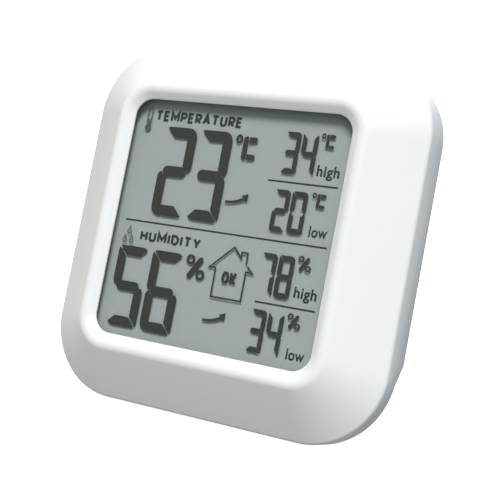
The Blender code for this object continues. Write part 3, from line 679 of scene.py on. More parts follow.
@dataclass
class Case:
    """The white case: front shell, back, cover and screws.

    Attributes:
        face: the frame of the face.
        side: width and height of the case.
        corner: radius of its corners.
        window: side of the display's window.
        window_corner: radius of the window's corners.
        side_depth: how deep the side wall reaches.
        foot_depth: how deep it reaches at the foot, where it is cut back.
        foot_rise: how far up the cut-back part reaches.
        step_rise: height over which the depth changes.
        side_wall: thickness of the side wall.
        face_wall: thickness of the bevel.
        face_angle: slope of the broad bevel.
        face_end: how far the bevel's outer edge lies behind the window.
        rim_radius: rounding of that edge.
        lip_angle: slope of the lip round the window.
        lip_radius: rounding of the lip's ridge.
        land_edge: rounding of the window's edge.
        rear_edge: rounding of the side wall's rear edge.
        ledge_depth: height of the ledge behind the window's edge.
        post_depth: how far the posts sink into the bevel.
        posts: the posts for the screws.
        pocket_x, pocket_y: half the sides of the display's pocket.
        pocket_front, pocket_rear: heights between which it is cut.
        cover_edge: rounding of the battery cover's edges.
        screw_edge: rounding of the screws' edges.
        corner_steps: parts of each corner.
        arc_steps: parts of each rounding of the profile.
    """

    face: FaceFrame
    side: float = 77 * MM
    corner: float = 16 * MM
    window: float = 50 * MM
    window_corner: float = 3.9 * MM
    side_depth: float = 14 * MM
    foot_depth: float = 11.2 * MM
    foot_rise: float = 14.5 * MM
    step_rise: float = 4 * MM
    side_wall: float = 2 * MM
    face_wall: float = 1.6 * MM
    face_angle: float = radians(35)
    face_end: float = 6.2 * MM
    rim_radius: float = 1.1 * MM
    lip_angle: float = radians(33)
    lip_radius: float = 2.2 * MM
    land_edge: float = 0.12 * MM
    rear_edge: float = 0.25 * MM
    ledge_depth: float = 0.35 * MM
    post_depth: float = 0.25 * MM
    posts: tuple[Post, ...] = (
        Post("case_screw", 2.5 * MM, 1.4 * MM, -11.9 * MM, 6 * MM),
        Post("board_screw", 2 * MM, 1.1 * MM, -6.15 * MM, 2.2 * MM),
    )
    pocket_x: float = 26.8 * MM
    pocket_y: float = 27.6 * MM
    pocket_front: float = -0.73 * MM
    pocket_rear: float = -2.75 * MM
    cover_edge: float = 0.12 * MM
    screw_edge: float = 0.06 * MM
    corner_steps: int = 28
    arc_steps: int = 12

    def ring(self, half: float, depth: float | None, inset: float = 0.0) -> list[Vector]:
        """The case's outline where it is half wide.

        Args:
            half: half the outline's side.
            depth: its height in the face frame, or None for the side wall's rear edge.
            inset: how far the rear edge is moved towards the face.

        Returns:
            The ring's points.
        """
        share = (half - self.window / 2) / (self.side / 2 - self.window / 2)
        radius = self.window_corner + share * (self.corner - self.window_corner)
        low = -self.side / 2 + self.foot_rise
        points = []
        for x, y in outline(half, radius, low + self.step_rise, self.corner_steps):
            rise = min(max((y - low) / self.step_rise, 0.0), 1.0)
            rim = -(self.foot_depth + rise * (self.side_depth - self.foot_depth)) + inset
            points.append(Vector((x, y, rim if depth is None else depth)))
        return points

    def face_height(self, half: float, inset: float = 0.0) -> float:
        """Returns the height of the broad bevel where the case is half wide, or of a surface inset behind it."""
        return (self.side / 2 - half) * tan(self.face_angle) - self.face_end - inset / cos(self.face_angle)

    def front_shell(self) -> None:
        """The lip, the broad bevel and the side wall as one fine skin, with its screw posts and display pocket."""
        half, window = self.side / 2, self.window / 2
        apex = self.face_height(window) / (tan(self.lip_angle) + tan(self.face_angle))
        inner = half - self.side_wall
        drop = self.face_end + self.face_wall / cos(self.face_angle) - self.ledge_depth
        ledge = half - drop / tan(self.face_angle)
        skin = rounded(
            [
                (window, -self.ledge_depth, 0),
                (window, 0, self.land_edge),
                (window + apex, apex * tan(self.lip_angle), self.lip_radius),
                (half, -self.face_end, self.rim_radius),
                (half, -self.foot_depth, 0),
            ],
            self.arc_steps,
        )[:-1]
        rings = [self.ring(point.x, point.y) for point in skin]
        rear = self.rear_edge
        near = rear * 0.3
        rings += [self.ring(half, None, rear), self.ring(half - near, None, near)]
        rings += [self.ring(half - rear, None), self.ring(inner, None)]
        rings += [self.ring(inner, self.face_height(inner, self.face_wall)), self.ring(ledge, -self.ledge_depth)]
        shell = new_object("case_front", loft(rings), FLAT)
        self._posts(shell)
        shell.data.transform(self.face.matrix)
        below = block(Vector((-self.side, -self.side, -self.side)), Vector((self.side, self.side, 0)))
        combine(shell, "DIFFERENCE", [new_object("floor_cut", below, FLAT)])
        shade(shell, 35)
        dress(shell, WHITE, "case", "front_shell")

    def _posts(self, shell: bpy.types.Object) -> None:
        """Adds the posts that the screws bite into, and cuts the display's pocket.

        Args:
            shell: the front shell's object.
        """
        posts, holes = [], []
        for post in self.posts:
            for index in range(1, 5):
                middle = self.face.middle(f"{post.screw}_{index}")
                start = self.face_height(max(abs(middle.x), abs(middle.y)) + post.radius, self.post_depth)
                foot = Vector((middle.x, middle.y, post.foot))
                solid = rod(post.radius, Vector((middle.x, middle.y, start)), foot)
                bore = rod(post.bore, foot - Vector((0, 0, MM)), foot + Vector((0, 0, post.deep)))
                posts.append(new_object("post", solid, FLAT))
                holes.append(new_object("bore", bore, FLAT))
        combine(shell, "UNION", posts)
        low = Vector((-self.pocket_x, -self.pocket_y, self.pocket_rear))
        high = Vector((self.pocket_x, self.pocket_y, self.pocket_front))
        holes.append(new_object("pocket", block(low, high), FLAT))
        combine(shell, "DIFFERENCE", holes)

    def back(self) -> None:
        """The back, its cover with ribs for the thumb, and the screws."""
        refined("case_back", "rear_shell", 0.0, "case", REAR_WHITE)
        refined("cell_cover", "battery_cover", self.cover_edge, "cover", REAR_WHITE, smooth=1)
        for post in self.posts:
            for index in range(1, 5):
                screw = f"{post.screw}_{index}"
                refined(f"{screw}_finished", screw, self.screw_edge, "case", STEEL)


# Display -------------------------------------------------------------------------------------------------------


def thicken(shape: bmesh.types.BMesh, faces: list[bmesh.types.BMFace], thick: float) -> None:
    """Turns flat faces into solids.

    Args:
        shape: the bmesh that they are in.
        faces: the faces, which look along Z.
        thick: how far the solids reach back.
    """
    made = bmesh.ops.extrude_face_region(shape, geom=faces)
    verts = [item for item in made["geom"] if isinstance(item, bmesh.types.BMVert)]
    bmesh.ops.translate(shape, vec=(0, 0, -thick), verts=verts)
    bmesh.ops.recalc_face_normals(shape, faces=shape.faces)


def flat_shapes(polygons: list[Polygon], front: float, thick: float) -> bmesh.types.BMesh:
    """Thin solids with the given outlines.

    Args:
        polygons: each solid's outline.
        front: height of their front face.
        thick: their thickness.

    Returns:
        All of the solids in one bmesh.
    """
    shape = bmesh.new()
    for polygon in polygons:
        thicken(shape, [shape.faces.new([shape.verts.new((x, y, front)) for x, y in polygon])], thick)
    return shape


def stroke(points: Polygon, width: float, closed: bool = False) -> list[Polygon]:
    """A line of even width through points, as one outline, or as quads around a closed line.

    Args:
        points: the line's points.
        width: its width.
        closed: whether it returns to its first point.

    Returns:
        The outlines.
    """
    count = len(points)
    left, right = [], []
    for index, (x, y) in enumerate(points):
        here = Vector((x, y))
        before = Vector(points[index - 1]) if closed or index else None
        after = Vector(points[(index + 1) % count]) if closed or index < count - 1 else None
        into = (here - before).normalized() if before is not None else (after - here).normalized()
        out = (after - here).normalized() if after is not None else into
        side = Vector((-(into.y + out.y), into.x + out.x)).normalized()
        reach = width / 2 / max(side.dot(Vector((-into.y, into.x))), 0.35)
        left.append(tuple(here + side * reach))
        right.append(tuple(here - side * reach))
    if not closed:
        return [left + right[::-1]]
    return [[left[i - 1], left[i], right[i], right[i - 1]] for i in range(count)]


def in_mm(points: Sequence[Point]) -> Polygon:
    """Turns points in millimetres into metres."""
    return [(x * MM, y * MM) for x, y in points]


def moved(polygons: list[Polygon], x: float, y: float, scale: float = 1.0) -> list[Polygon]:
    """The polygons scaled about the origin, then moved."""
    return [[(px * scale + x, py * scale + y) for px, py in polygon] for polygon in polygons]


@dataclass(frozen=True)
class Digit:
    """A seven-segment digit with round outer corners.

    Attributes:
        wide: width of the whole digit.
        tall: its height.
        upright: thickness of its upright segments.
        level: thickness of its level segments.
        gap: gap between segments.
    """

    wide: float
    tall: float
    upright: float
    level: float
    gap: float

    LIT = {
        "0": "abcdef",
        "2": "abged",
        "3": "abgcd",
        "4": "fgbc",
        "5": "afgcd",
        "6": "afgecd",
        "7": "abc",
        "8": "abcdefg",
    }

    def segments(self) -> dict[str, Polygon]:
        """Returns the outline of each segment, named a to g as usual."""
        wide, tall, upright, level, gap = self.wide, self.tall, self.upright, self.level, self.gap
        middle = tall / 2
        big, small = upright * 0.92, upright * 0.6
        bulge = level / 2 + gap
        inset = wide * 0.135 + level / 2
        low = middle - level * 0.42
        tip = middle - level * 0.08

        def right_leg(radius: float, split: float) -> Polygon:
            """The lower right segment.

            Args:
                radius: radius of its corner.
                split: gap at its foot, in degrees of the corner.

            Returns:
                Its outline.
            """
            foot = arc((wide - radius, radius), radius, -45 + split, 0, 5)
            end = arc((wide - inset, middle), bulge, -8, -92, 8)
            inner = (wide - upright, level + split * 0.02 * upright)
            return [inner, *foot, (wide, low), (wide - 0.22 * upright, tip), *end, (wide - upright, middle - bulge)]

        def bottom(left: float, right: float, split: float) -> Polygon:
            """The bottom segment.

            Args:
                left: radius of its left corner.
                right: radius of its right corner.
                split: gap at its right end, in degrees of the corner.

            Returns:
                Its outline.
            """
            one = arc((left, left), left, 225, 270, 4)
            two = arc((wide - right, right), right, -90, -45 - split, 4)
            return [*one, *two, (wide - upright - split * 0.02 * upright, level), (upright, level)]

        def flip(polygon: Polygon, across: bool, over: bool) -> Polygon:
            """The polygon mirrored left to right, top to bottom, or both."""
            return [(wide - x if across else x, tall - y if over else y) for x, y in polygon]

        split = 6.0
        left_end = arc((inset, middle), level / 2, 90, 270, 8)
        right_end = arc((wide - inset, middle), level / 2, -90, 90, 8)
        return {
            "a": flip(bottom(big, small, split), True, True),
            "b": flip(right_leg(big, 0), False, True),
            "c": right_leg(small, split),
            "d": bottom(big, small, split),
            "e": flip(right_leg(big, 0), True, False),
            "f": flip(right_leg(small, split), True, True),
            "g": [*left_end, *right_end],
        }

    def draw(self, text: str, left: float, base: float, pitch: float) -> list[Polygon]:
        """The lit segments of several digits.

        Args:
            text: the digits.
            left: where the first one starts.
            base: their foot.
            pitch: from one digit to the next.

        Returns:
            The lit segments' outlines.
        """
        shapes = self.segments()
        lit = []
        for index, sign in enumerate(text):
            lit += moved([shapes[name] for name in self.LIT[sign]], left + index * pitch, base)
        return lit


def degree_sign(x: float, y: float, scale: float) -> list[Polygon]:
    """A degree ring and a square C to its right.

    Args:
        x: place of the ring's middle.
        y: its height.
        scale: size of the sign, 1 beside the large digits.

    Returns:
        The shapes' outlines.
    """
    ring = stroke(arc((0, 0), 0.57 * MM, 0, 345, 23), 0.44 * MM, closed=True)
    ring = [[(px, py * 1.18) for px, py in polygon] for polygon in ring]
    bar = [
        (1.02, 0.05), (1.3, 0.55), (2.0, 0.62), (2.12, 0.3),
        (2.12, -3.6), (1.95, -4.1), (1.4, -4.15), (1.02, -3.8),
    ]
    top = [(2.24, 0.55), (2.24, -0.68), *arc((3.6, -0.05), 0.62, -90, 90, 6)]
    foot = [(2.24, -3.0), (2.24, -4.15), *arc((3.6, -3.57), 0.58, -90, 90, 6)]
    return moved(ring + [in_mm(polygon) for polygon in (bar, top, foot)], x, y, scale)


def percent_sign(x: float, y: float, scale: float) -> list[Polygon]:
    """A percent sign.

    Args:
        x: place of its upper ring's middle.
        y: its height.
        scale: size of the sign.

    Returns:
        The shapes' outlines.
    """
    rings = []
    for ring_x, ring_y in ((0, 0), (2.5, -2.6)):
        rings += stroke(arc((ring_x * MM, ring_y * MM), 0.7 * MM, 0, 345, 23), 0.5 * MM, closed=True)
    slash = [*arc((0.25, -2.95), 0.55, 150, 330, 8), *arc((2.15, 0.1), 0.55, -30, 150, 8)]
    return moved([*rings, in_mm(slash)], x, y, scale)


def trend_arrow(x: float, y: float) -> list[Polygon]:
    """An arrow that swings up to the right.

    Args:
        x: place of its tail.
        y: its height.

    Returns:
        The arrow's outline.
    """
    under = [(0, -0.22), (1.2, -0.2), (2.4, -0.02), (3.4, 0.32), (4.3, 0.75)]
    head = [(4.95, 0.42), (5.07, 2.12), (3.6, 1.58), (3.95, 1.2)]
    over = [(3.1, 0.82), (2.2, 0.5), (1.1, 0.32), (0.1, 0.32)]
    return moved([in_mm(under + head + over)], x, y)


def droplet(x: float, y: float) -> list[Polygon]:
    """The outline of a drop with its round part's middle at (x, y)."""
    line = [(0, 1.0 * MM), *arc((0, -0.1 * MM), 0.45 * MM, 145, 395, 14)]
    return moved(stroke(line, 0.2 * MM, closed=True), x, y)


LETTER_GAP = 0.62
BOWL: Polygon = [(0, 0), (0, 1), (0.68, 1), (1, 0.86), (1, 0.6), (0.68, 0.45), (0.14, 0.45)]
LETTERS: dict[str, tuple[float, list[Polygon]]] = {
    "A": (1.05, [[(0, 0), (0.5, 1), (1, 0)], [(0.25, 0.33), (0.75, 0.33)]]),
    "D": (0.95, [[(0.14, 0), (0.6, 0), (1, 0.28), (1, 0.72), (0.6, 1), (0, 1), (0, 0.02)]]),
    "E": (0.75, [[(1, 1), (0, 1), (0, 0), (1, 0)], [(0.14, 0.52), (0.88, 0.52)]]),
    "H": (0.9, [[(0, 0), (0, 1)], [(0.14, 0.52), (0.86, 0.52)], [(1, 0), (1, 1)]]),
    "I": (0.0, [[(0.5, 0), (0.5, 1)]]),
    "K": (0.9, [[(0, 0), (0, 1)], [(1, 1), (0.2, 0.45), (1, 0)]]),
    "M": (1.25, [[(0, 0), (0, 1), (0.5, 0.3), (1, 1), (1, 0)]]),
    "O": (1.0, [
        [(0.5, 1), (0.2, 0.9), (0, 0.6), (0, 0.4), (0.2, 0.1), (0.5, 0)],
        [(0.5, 0), (0.8, 0.1), (1, 0.4), (1, 0.6), (0.8, 0.9), (0.5, 1)],
    ]),
    "P": (0.8, [BOWL]),
    "R": (0.8, [BOWL, [(0.5, 0.36), (1, 0)]]),
    "T": (0.95, [[(0, 1), (1, 1)], [(0.5, 0.9), (0.5, 0)]]),
    "U": (0.9, [[(0, 1), (0, 0.22), (0.25, 0), (0.75, 0), (1, 0.22), (1, 1)]]),
    "Y": (1.0, [[(0, 1), (0.5, 0.42), (1, 1)], [(0.5, 0.3), (0.5, 0)]]),
}


def lettered(text: str, low: Point, high: Point, bold: float) -> list[Polygon]:
    """Capital letters drawn in strokes, spread evenly to fill a box.

    Args:
        text: the letters.
        low: lower left corner of the box, in millimetres.
        high: its upper right corner, in millimetres.
        bold: width of a stroke, in millimetres.

    Returns:
        The strokes' outlines, in metres.
    """
    span = sum(LETTERS[letter][0] for letter in text) + LETTER_GAP * (len(text) - 1)
    unit = (high[0] - low[0] - bold) / span
    tall = high[1] - low[1] - bold
    left = low[0] + bold / 2
    shapes: list[Polygon] = []
    for letter in text:
        wide, lines = LETTERS[letter]
        for line in lines:
            points = [(left + x * wide * unit, low[1] + bold / 2 + y * tall) for x, y in line]
            shapes += stroke(in_mm(points), bold * MM)
        left += (wide + LETTER_GAP) * unit
    return shapes


@dataclass(frozen=True)
class Record:
    """A highest or lowest reading with its word, placed in millimetres.

    Attributes:
        digits: the reading.
        left: where its first digit starts.
        foot: the digits' foot.
        word: high or low.
        word_foot: the word's foot.
        sign: middle of the sign's first ring.
        warm: whether it is a temperature, and not a humidity.
    """

    digits: str
    left: float
    foot: float
    word: str
    word_foot: float
    sign: Point
    warm: bool


RECORDS = (
    Record("34", 10.38, 12.45, "high", 11.99, (18.57, 20.59), True),
    Record("20", 10.38, 0.76, "low", 0.69, (18.9, 8.82), True),
    Record("78", 10.18, -11.98, "high", -12.03, (18.65, -3.79), False),
    Record("34", 10.18, -23.21, "low", -23.28, (18.65, -15.03), False),
)
# Left and right ends and height of each small word, in millimetres.
WORD_BOXES = {"high": (18.33, 23.2, 2.9), "low": (19.05, 22.97, 2.2)}


@dataclass
class Display:
    """The liquid crystal display: its layers, and what it shows.

    Attributes:
        face: the frame of the face.
        front: height of the lit shapes' front, between the two glasses.
        printed_front: height of the front of what is printed on the reflector.
        thick: thickness of both.
        rule: width of the ruled lines and of the house's outline.
        lit_shift: where the lit shapes' middle lies.
        printed_shift: where the printed shapes' middle lies.
        word_bold: how far small words are grown, as a share of their letters' size.
        title_bold: width of the titles' strokes, in millimetres.
    """

    face: FaceFrame
    front: float = -1.66 * MM
    printed_front: float = -2.11 * MM
    thick: float = 0.03 * MM
    rule: float = 0.35 * MM
    lit_shift: Point = (-0.07 * MM, 0.215 * MM)
    printed_shift: Point = (-0.22 * MM, 0.18 * MM)
    word_bold: float = 0.025
    title_bold: float = 0.57

    def layers(self) -> None:
        """Dresses the layers of the display and the pieces behind it."""
        for node, finish in (
            ("front_polarizer", FILM),
            ("front_glass", GLASS),
            ("rear_glass", GLASS),
            ("reflector", REFLECTOR),
            ("display_gasket", FOAM),
            ("display_holder", GREY),
            ("upper_contact_strip", RUBBER),
            ("lower_contact_strip", RUBBER),
        ):
            cover_node(node, finish)
        for node in ("front_polarizer", "front_glass", "rear_glass"):
            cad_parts[node].visible_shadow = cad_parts[node].visible_diffuse = False

    def place(self, printed: bool) -> tuple[Matrix, float]:
        """Returns the place of shapes that are lit, or printed on the reflector, and the height of their front."""
        shift, front = (self.printed_shift, self.printed_front) if printed else (self.lit_shift, self.front)
        return self.face.matrix @ Matrix.Translation((*shift, 0)), front

    def show(self, name: str, polygons: list[Polygon], finish: Finish = SEGMENT, printed: bool = False) -> None:
        """Makes one piece of flat shapes.

        Args:
            name: the piece's name.
            polygons: the shapes' outlines.
            finish: its material.
            printed: whether it is printed on the reflector, so that it throws no shadow there.
        """
        place, front = self.place(printed)
        dress(new_object(name, flat_shapes(polygons, front, self.thick), place), finish, "case")

    def word(self, name: str, text: str, low: Point, high: Point) -> None:
        """Makes a small printed word that fills a box.

        Args:
            name: the piece's name.
            text: the word.
            low: lower left corner of the box, in millimetres.
            high: its upper right corner, in millimetres.
        """
        place, front = self.place(printed=True)
        data = bpy.data.curves.new(name, "FONT")
        data.body = text
        data.space_character = 1 + 2.5 * self.word_bold
        data.offset = self.word_bold
        data.resolution_u = 6
        writer = bpy.data.objects.new(name, data)
        bpy.context.scene.collection.objects.link(writer)
        bpy.context.view_layer.update()
        mesh = bpy.data.meshes.new_from_object(writer.evaluated_get(bpy.context.evaluated_depsgraph_get()))
        bpy.data.objects.remove(writer)
        shape = bmesh.new()
        shape.from_mesh(mesh)
        bmesh.ops.remove_doubles(shape, verts=shape.verts, dist=1e-4)
        xs = [vert.co.x for vert in shape.verts]
        ys = [vert.co.y for vert in shape.verts]
        scale_x = (high[0] - low[0]) * MM / (max(xs) - min(xs))
        scale_y = (high[1] - low[1]) * MM / (max(ys) - min(ys))
        for vert in shape.verts:
            x = low[0] * MM + (vert.co.x - min(xs)) * scale_x
            y = low[1] * MM + (vert.co.y - min(ys)) * scale_y
            vert.co = Vector((x, y, front))
        thicken(shape, shape.faces[:], self.thick)
        dress(new_object(name, shape, place), SEGMENT, "case")

    def readings(self) -> None:
        """The temperature and humidity now, each with its sign and trend."""
        warm = Digit(7.8 * MM, 18.82 * MM, 2.15 * MM, 2.25 * MM, 0.1 * MM)
        damp = Digit(7.7 * MM, 16.85 * MM, 2.03 * MM, 2.06 * MM, 0.1 * MM)
        pitch = 8.5 * MM
        temperature = warm.draw("23", -17.68 * MM, 0.73 * MM, pitch) + degree_sign(0.13 * MM, 18.4 * MM, 1.0)
        self.show("temperature_reading", temperature)
        humidity = damp.draw("56", -23.45 * MM, -23.35 * MM, pitch) + percent_sign(-5.7 * MM, -7.28 * MM, 1.1)
        self.show("humidity_reading", humidity)
        self.show("temperature_trend", trend_arrow(-0.52 * MM, 5.33 * MM))
        self.show("humidity_trend", trend_arrow(-0.5 * MM, -18.85 * MM))

    def records(self) -> None:
        """The highest and lowest readings in the right-hand column, with their words."""
        small = Digit(3.45 * MM, 8.4 * MM, 0.98 * MM, 1.08 * MM, 0.07 * MM)
        for index, record in enumerate(RECORDS, 1):
            shapes = small.draw(record.digits, record.left * MM, record.foot * MM, 3.82 * MM)
            sign_x, sign_y = record.sign[0] * MM, record.sign[1] * MM
            shapes += degree_sign(sign_x, sign_y, 0.6) if record.warm else percent_sign(sign_x, sign_y, 0.68)
            self.show(f"record_{index}", shapes)
            left, right, tall = WORD_BOXES[record.word]
            low, high = (left, record.word_foot), (right, record.word_foot + tall)
            self.word(f"word_{record.word}_{index}", record.word, low, high)

    def marks(self) -> None:
        """The titles, the ruled lines, the small icons and the house that says how the air is."""
        for text, low, high in (
            ("TEMPERATURE", (-21.07, 20.62), (-0.02, 22.94)),
            ("HUMIDITY", (-19.05, -5.04), (-4.2, -2.8)),
        ):
            self.show(f"title_{text.lower()}", lettered(text, low, high, self.title_bold), printed=True)
        self.show("house_word", lettered("OK", (2.05, -11.06), (5.5, -8.41), 0.58))
        lines = (((-23.5, -0.98), (23.4, -0.98)), ((8.14, 10.84), (23.35, 10.84)), ((10.32, -13.33), (23.4, -13.33)))
        rules = [stroke(in_mm(line), self.rule)[0] for line in lines]
        self.show("display_rules", rules, printed=True)
        walls = (
            (7.36, -6.89), (8.71, -8.19), (7.23, -8.05), (7.25, -13.95), (0.4, -13.95), (0.32, -8.06),
            (-1.17, -8.19), (3.77, -3.51), (5.66, -5.45), (5.6, -4.3), (6.95, -4.3), (7.02, -6.55),
        )
        self.show("house_mark", stroke(in_mm(walls), self.rule))
        bulb = arc((-22.4, 18.97), 0.76, 0, 345, 23)
        stem = [(-22.64, 19.4), (-22.16, 19.4), (-22.16, 20.7), (-22.64, 20.7)]
        tube = [(-22.87, 19.8), *arc((-22.4, 22.6), 0.47, 180, 0, 8), (-21.93, 19.8)]
        icons = [in_mm(bulb), in_mm(stem), *stroke(in_mm(tube), 0.24 * MM)]
        for x, y in ((-21.8, -3.42), (-22.63, -5.32), (-20.96, -5.32)):
            icons += droplet(x * MM, y * MM)
        self.show("thermometer_and_drops", icons, FAINT)


def cover_node(node: str, finish: Finish) -> None:
    """Gives a CAD node that keeps its shape its material.

    Args:
        node: the node.
        finish: the material's finish.
    """
    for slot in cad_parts[node].material_slots:
        slot.material = finish.material()
    LOG.info("dressed %s", node)


# Inside, keys, power and stand ---------------------------------------------------------------------------------


@dataclass
class Electronics:
    """The board, what is on it, and its keys.

    Attributes:
        face: the frame of the face.
        pads: number of contact pads in each row.
        pad_pitch: from one pad's middle to the next.
        pad_size: a pad's width and length.
        pad_thick: its thickness.
        pad_height: height of its middle in the face frame.
        case_edge: rounding of the sensor's and the switches' housings.
        can_edge: rounding of the capacitor.
        button_edge: rounding of the keys.
        plunger_edge: rounding of the switches' plungers.
    """

    face: FaceFrame
    pads: int = 44
    pad_pitch: float = 1 * MM
    pad_size: Point = (0.55 * MM, 1.2 * MM)
    pad_thick: float = 0.03 * MM
    pad_height: float = -6.22 * MM
    case_edge: float = 0.1 * MM
    can_edge: float = 0.15 * MM
    button_edge: float = 0.2 * MM
    plunger_edge: float = 0.15 * MM

    def build(self) -> None:
        """Dresses the board's pieces and adds the pads under the contact strips."""
        for node, finish in (("main_board", BOARD), ("clock_crystal", STEEL), ("timing_capacitor", CERAMIC)):
            cover_node(node, finish)
        for node, width, finish in (
            ("controller_chip", 0.0, EPOXY),
            ("supply_capacitor", self.can_edge, CAN),
            ("humidity_sensor", self.case_edge, SENSOR),
            ("temperature_sensor", 0.0, EPOXY),
            ("unit_switch_body", self.case_edge, BLACK),
            ("clear_switch_body", self.case_edge, BLACK),
        ):
            refined(f"{node}_finished", node, width, "case", finish)
        for key in ("unit", "clear"):
            refined(f"{key}_key", f"{key}_button", self.button_edge, f"{key}_key", GREY)
            refined(f"{key}_plunger", f"{key}_switch_plunger", self.plunger_edge, f"{key}_key", BLACK)
        for name in ("upper", "lower"):
            middle = self.face.middle(f"{name}_contact_strip")
            start = Vector((middle.x - self.pad_pitch * (self.pads - 1) / 2, middle.y, self.pad_height))
            size = Vector((*self.pad_size, self.pad_thick))
            row = BlockRow(f"{name}_contact_pads", start, Vector((self.pad_pitch, 0, 0)), self.pads, size)
            row.make(self.face, COPPER, "case")


@dataclass
class Power:
    """The cell, its contacts and its leads.

    Attributes:
        cell_edge: rounding of the cell's edges.
        plate_edge: rounding of the contact plate's edges.
    """

    cell_edge: float = 0.2 * MM
    plate_edge: float = 0.1 * MM

    def build(self) -> None:
        """Dresses the cell and the metal around it."""
        refined("aaa_cell", "battery_cell", self.cell_edge, "case", CELL)
        refined("contact_plate", "positive_contact", self.plate_edge, "case", NICKEL)
        refined("coil_contact", "negative_spring", 0.0, "case", NICKEL)
        refined("red_lead", "positive_lead", 0.0, "case", RED)
        refined("black_lead", "negative_lead", 0.0, "case", BLACK_WIRE)


@dataclass
class Stand:
    """The fold-out stand.

    Attributes:
        edge: rounding of its edges.
    """

    edge: float = 0.2 * MM

    def build(self) -> None:
        """Finishes the stand's plate."""
        refined("stand_plate", "kickstand", self.edge, "stand", REAR_WHITE)


# Studio --------------------------------------------------------------------------------------------------------


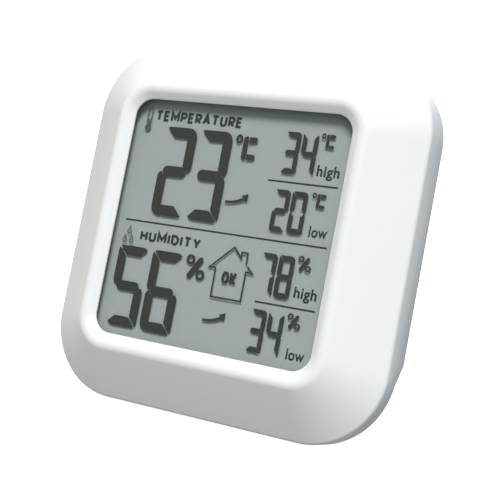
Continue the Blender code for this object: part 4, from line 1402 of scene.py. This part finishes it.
@dataclass
class Studio:
    """Pale floor, soft light and the camera.

    Attributes:
        face: the frame whose origin the camera is placed from.
        azimuth: how far the camera looks from the right.
        elevation: how far it looks down.
        camera_offset: from the window's middle to the camera, in millimetres.
        lens: focal length for the sensor's width.
        sensor: the sensor's width.
        clip: nearest and furthest distance seen.
        ambient: strength of the even light.
        left_tint: its colour on the left.
        right_tint: its colour on the right.
        key_power, key_spread, key_from: the light above the face.
        fill_power, fill_spread, fill_from: the softer light behind.
        floor_side: the floor's side.
        floor_drop: how far it lies below the case's foot.
        floor_glow: how much light it gives of itself.
    """

    face: FaceFrame
    azimuth: float = radians(29.15)
    elevation: float = radians(16.1)
    camera_offset: Point3 = (105.8, -176.6, 54.7)
    lens: float = 76.77
    sensor: float = 36.0
    clip: Point = (0.01, 50.0)
    ambient: float = 0.337
    left_tint: Point3 = (1.14, 1.07, 0.97)
    right_tint: Point3 = (0.95, 1.06, 1.15)
    key_power: float = 3.26
    key_spread: float = radians(24)
    key_from: Point3 = (0.23, -0.37, 0.90)
    fill_power: float = 1.3
    fill_spread: float = radians(60)
    fill_from: Point3 = (-0.1, 0.85, 0.5)
    floor_side: float = 12.0
    floor_drop: float = 0.02 * MM
    floor_glow: float = 0.78

    def build(self) -> None:
        """Makes the floor, the world, the lights and the camera."""
        self._floor()
        self._world()
        self._sun("key_light", self.key_from, self.key_power, self.key_spread)
        self._sun("back_fill", self.fill_from, self.fill_power, self.fill_spread)
        data = bpy.data.cameras.new("camera")
        data.lens = self.lens
        data.sensor_width = self.sensor
        data.clip_start, data.clip_end = self.clip
        camera = bpy.data.objects.new("camera", data)
        camera.location = self.face.matrix.translation + Vector(self.camera_offset) * MM
        camera.rotation_euler = Euler((pi / 2 - self.elevation, 0, self.azimuth))
        bpy.context.scene.collection.objects.link(camera)
        bpy.context.scene.camera = camera
        bpy.context.scene.view_settings.view_transform = "Standard"

    def _floor(self) -> None:
        """A pale floor that the case stands on."""
        shape = bmesh.new()
        bmesh.ops.create_grid(shape, x_segments=1, y_segments=1, size=self.floor_side / 2)
        floor = new_object("pale_floor", shape, Matrix.Translation((0, 0, -self.floor_drop)))
        paint = bpy.data.materials.new("pale_floor")
        paint.use_nodes = True
        shader = paint.node_tree.nodes["Principled BSDF"]
        shader.inputs["Base Color"].default_value = (0.85, 0.85, 0.85, 1)
        shader.inputs["Roughness"].default_value = 0.9
        shader.inputs["Specular IOR Level"].default_value = 0.0
        shader.inputs["Emission Color"].default_value = (1, 1, 1, 1)
        shader.inputs["Emission Strength"].default_value = self.floor_glow
        floor.data.materials.append(paint)
        floor.visible_diffuse = False
        floor.visible_glossy = False

    def _world(self) -> None:
        """An even light from all round, a little warmer from the left, over a white page."""
        world = bpy.data.worlds.new("studio")
        world.use_nodes = True
        background = world.node_tree.nodes["Background"]
        background.inputs["Strength"].default_value = self.ambient
        nodes, links = world.node_tree.nodes, world.node_tree.links
        place, split = nodes.new("ShaderNodeTexCoord"), nodes.new("ShaderNodeSeparateXYZ")
        across, sides = nodes.new("ShaderNodeMapRange"), nodes.new("ShaderNodeMix")
        across.inputs["From Min"].default_value = -1
        sides.data_type = "RGBA"
        sides.inputs["A"].default_value = (*self.left_tint, 1)
        sides.inputs["B"].default_value = (*self.right_tint, 1)
        wire(
            links,
            (place, "Generated", split, "Vector"),
            (split, "X", across, "Value"),
            (across, "Result", sides, "Factor"),
            (sides, "Result", background, "Color"),
        )
        page, path = nodes.new("ShaderNodeBackground"), nodes.new("ShaderNodeLightPath")
        page.inputs["Color"].default_value = (1, 1, 1, 1)
        either = nodes.new("ShaderNodeMixShader")
        wire(
            links,
            (path, "Is Camera Ray", either, "Fac"),
            (background, "Background", either, 1),
            (page, "Background", either, 2),
            (either, "Shader", nodes["World Output"], "Surface"),
        )
        bpy.context.scene.world = world

    def _sun(self, name: str, come_from: Point3, power: float, spread: float) -> None:
        """Makes a soft directional light.

        Args:
            name: the light's name.
            come_from: the direction that it comes from.
            power: its strength.
            spread: its width as an angle, which softens its shadows.
        """
        data = bpy.data.lights.new(name, "SUN")
        data.energy = power
        data.angle = spread
        light = bpy.data.objects.new(name, data)
        light.rotation_mode = "QUATERNION"
        light.rotation_quaternion = Vector(come_from).to_track_quat("Z", "Y")
        light.location = come_from
        bpy.context.scene.collection.objects.link(light)


def corners(box: tuple[Vector, Vector]) -> list[list[float]]:
    """Returns a box's two corners as plain lists."""
    return [list(corner) for corner in box]


def main() -> None:
    """Builds every sub-assembly on the frame."""
    logging.basicConfig(level=logging.INFO, format="%(name)s: %(message)s")
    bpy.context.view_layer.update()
    face = FaceFrame()
    case = Case(face)
    case.front_shell()
    case.back()
    display = Display(face)
    display.layers()
    display.readings()
    display.records()
    display.marks()
    Electronics(face).build()
    Power().build()
    Stand().build()
    Studio(face).build()


if __name__ == "__main__":
    main()
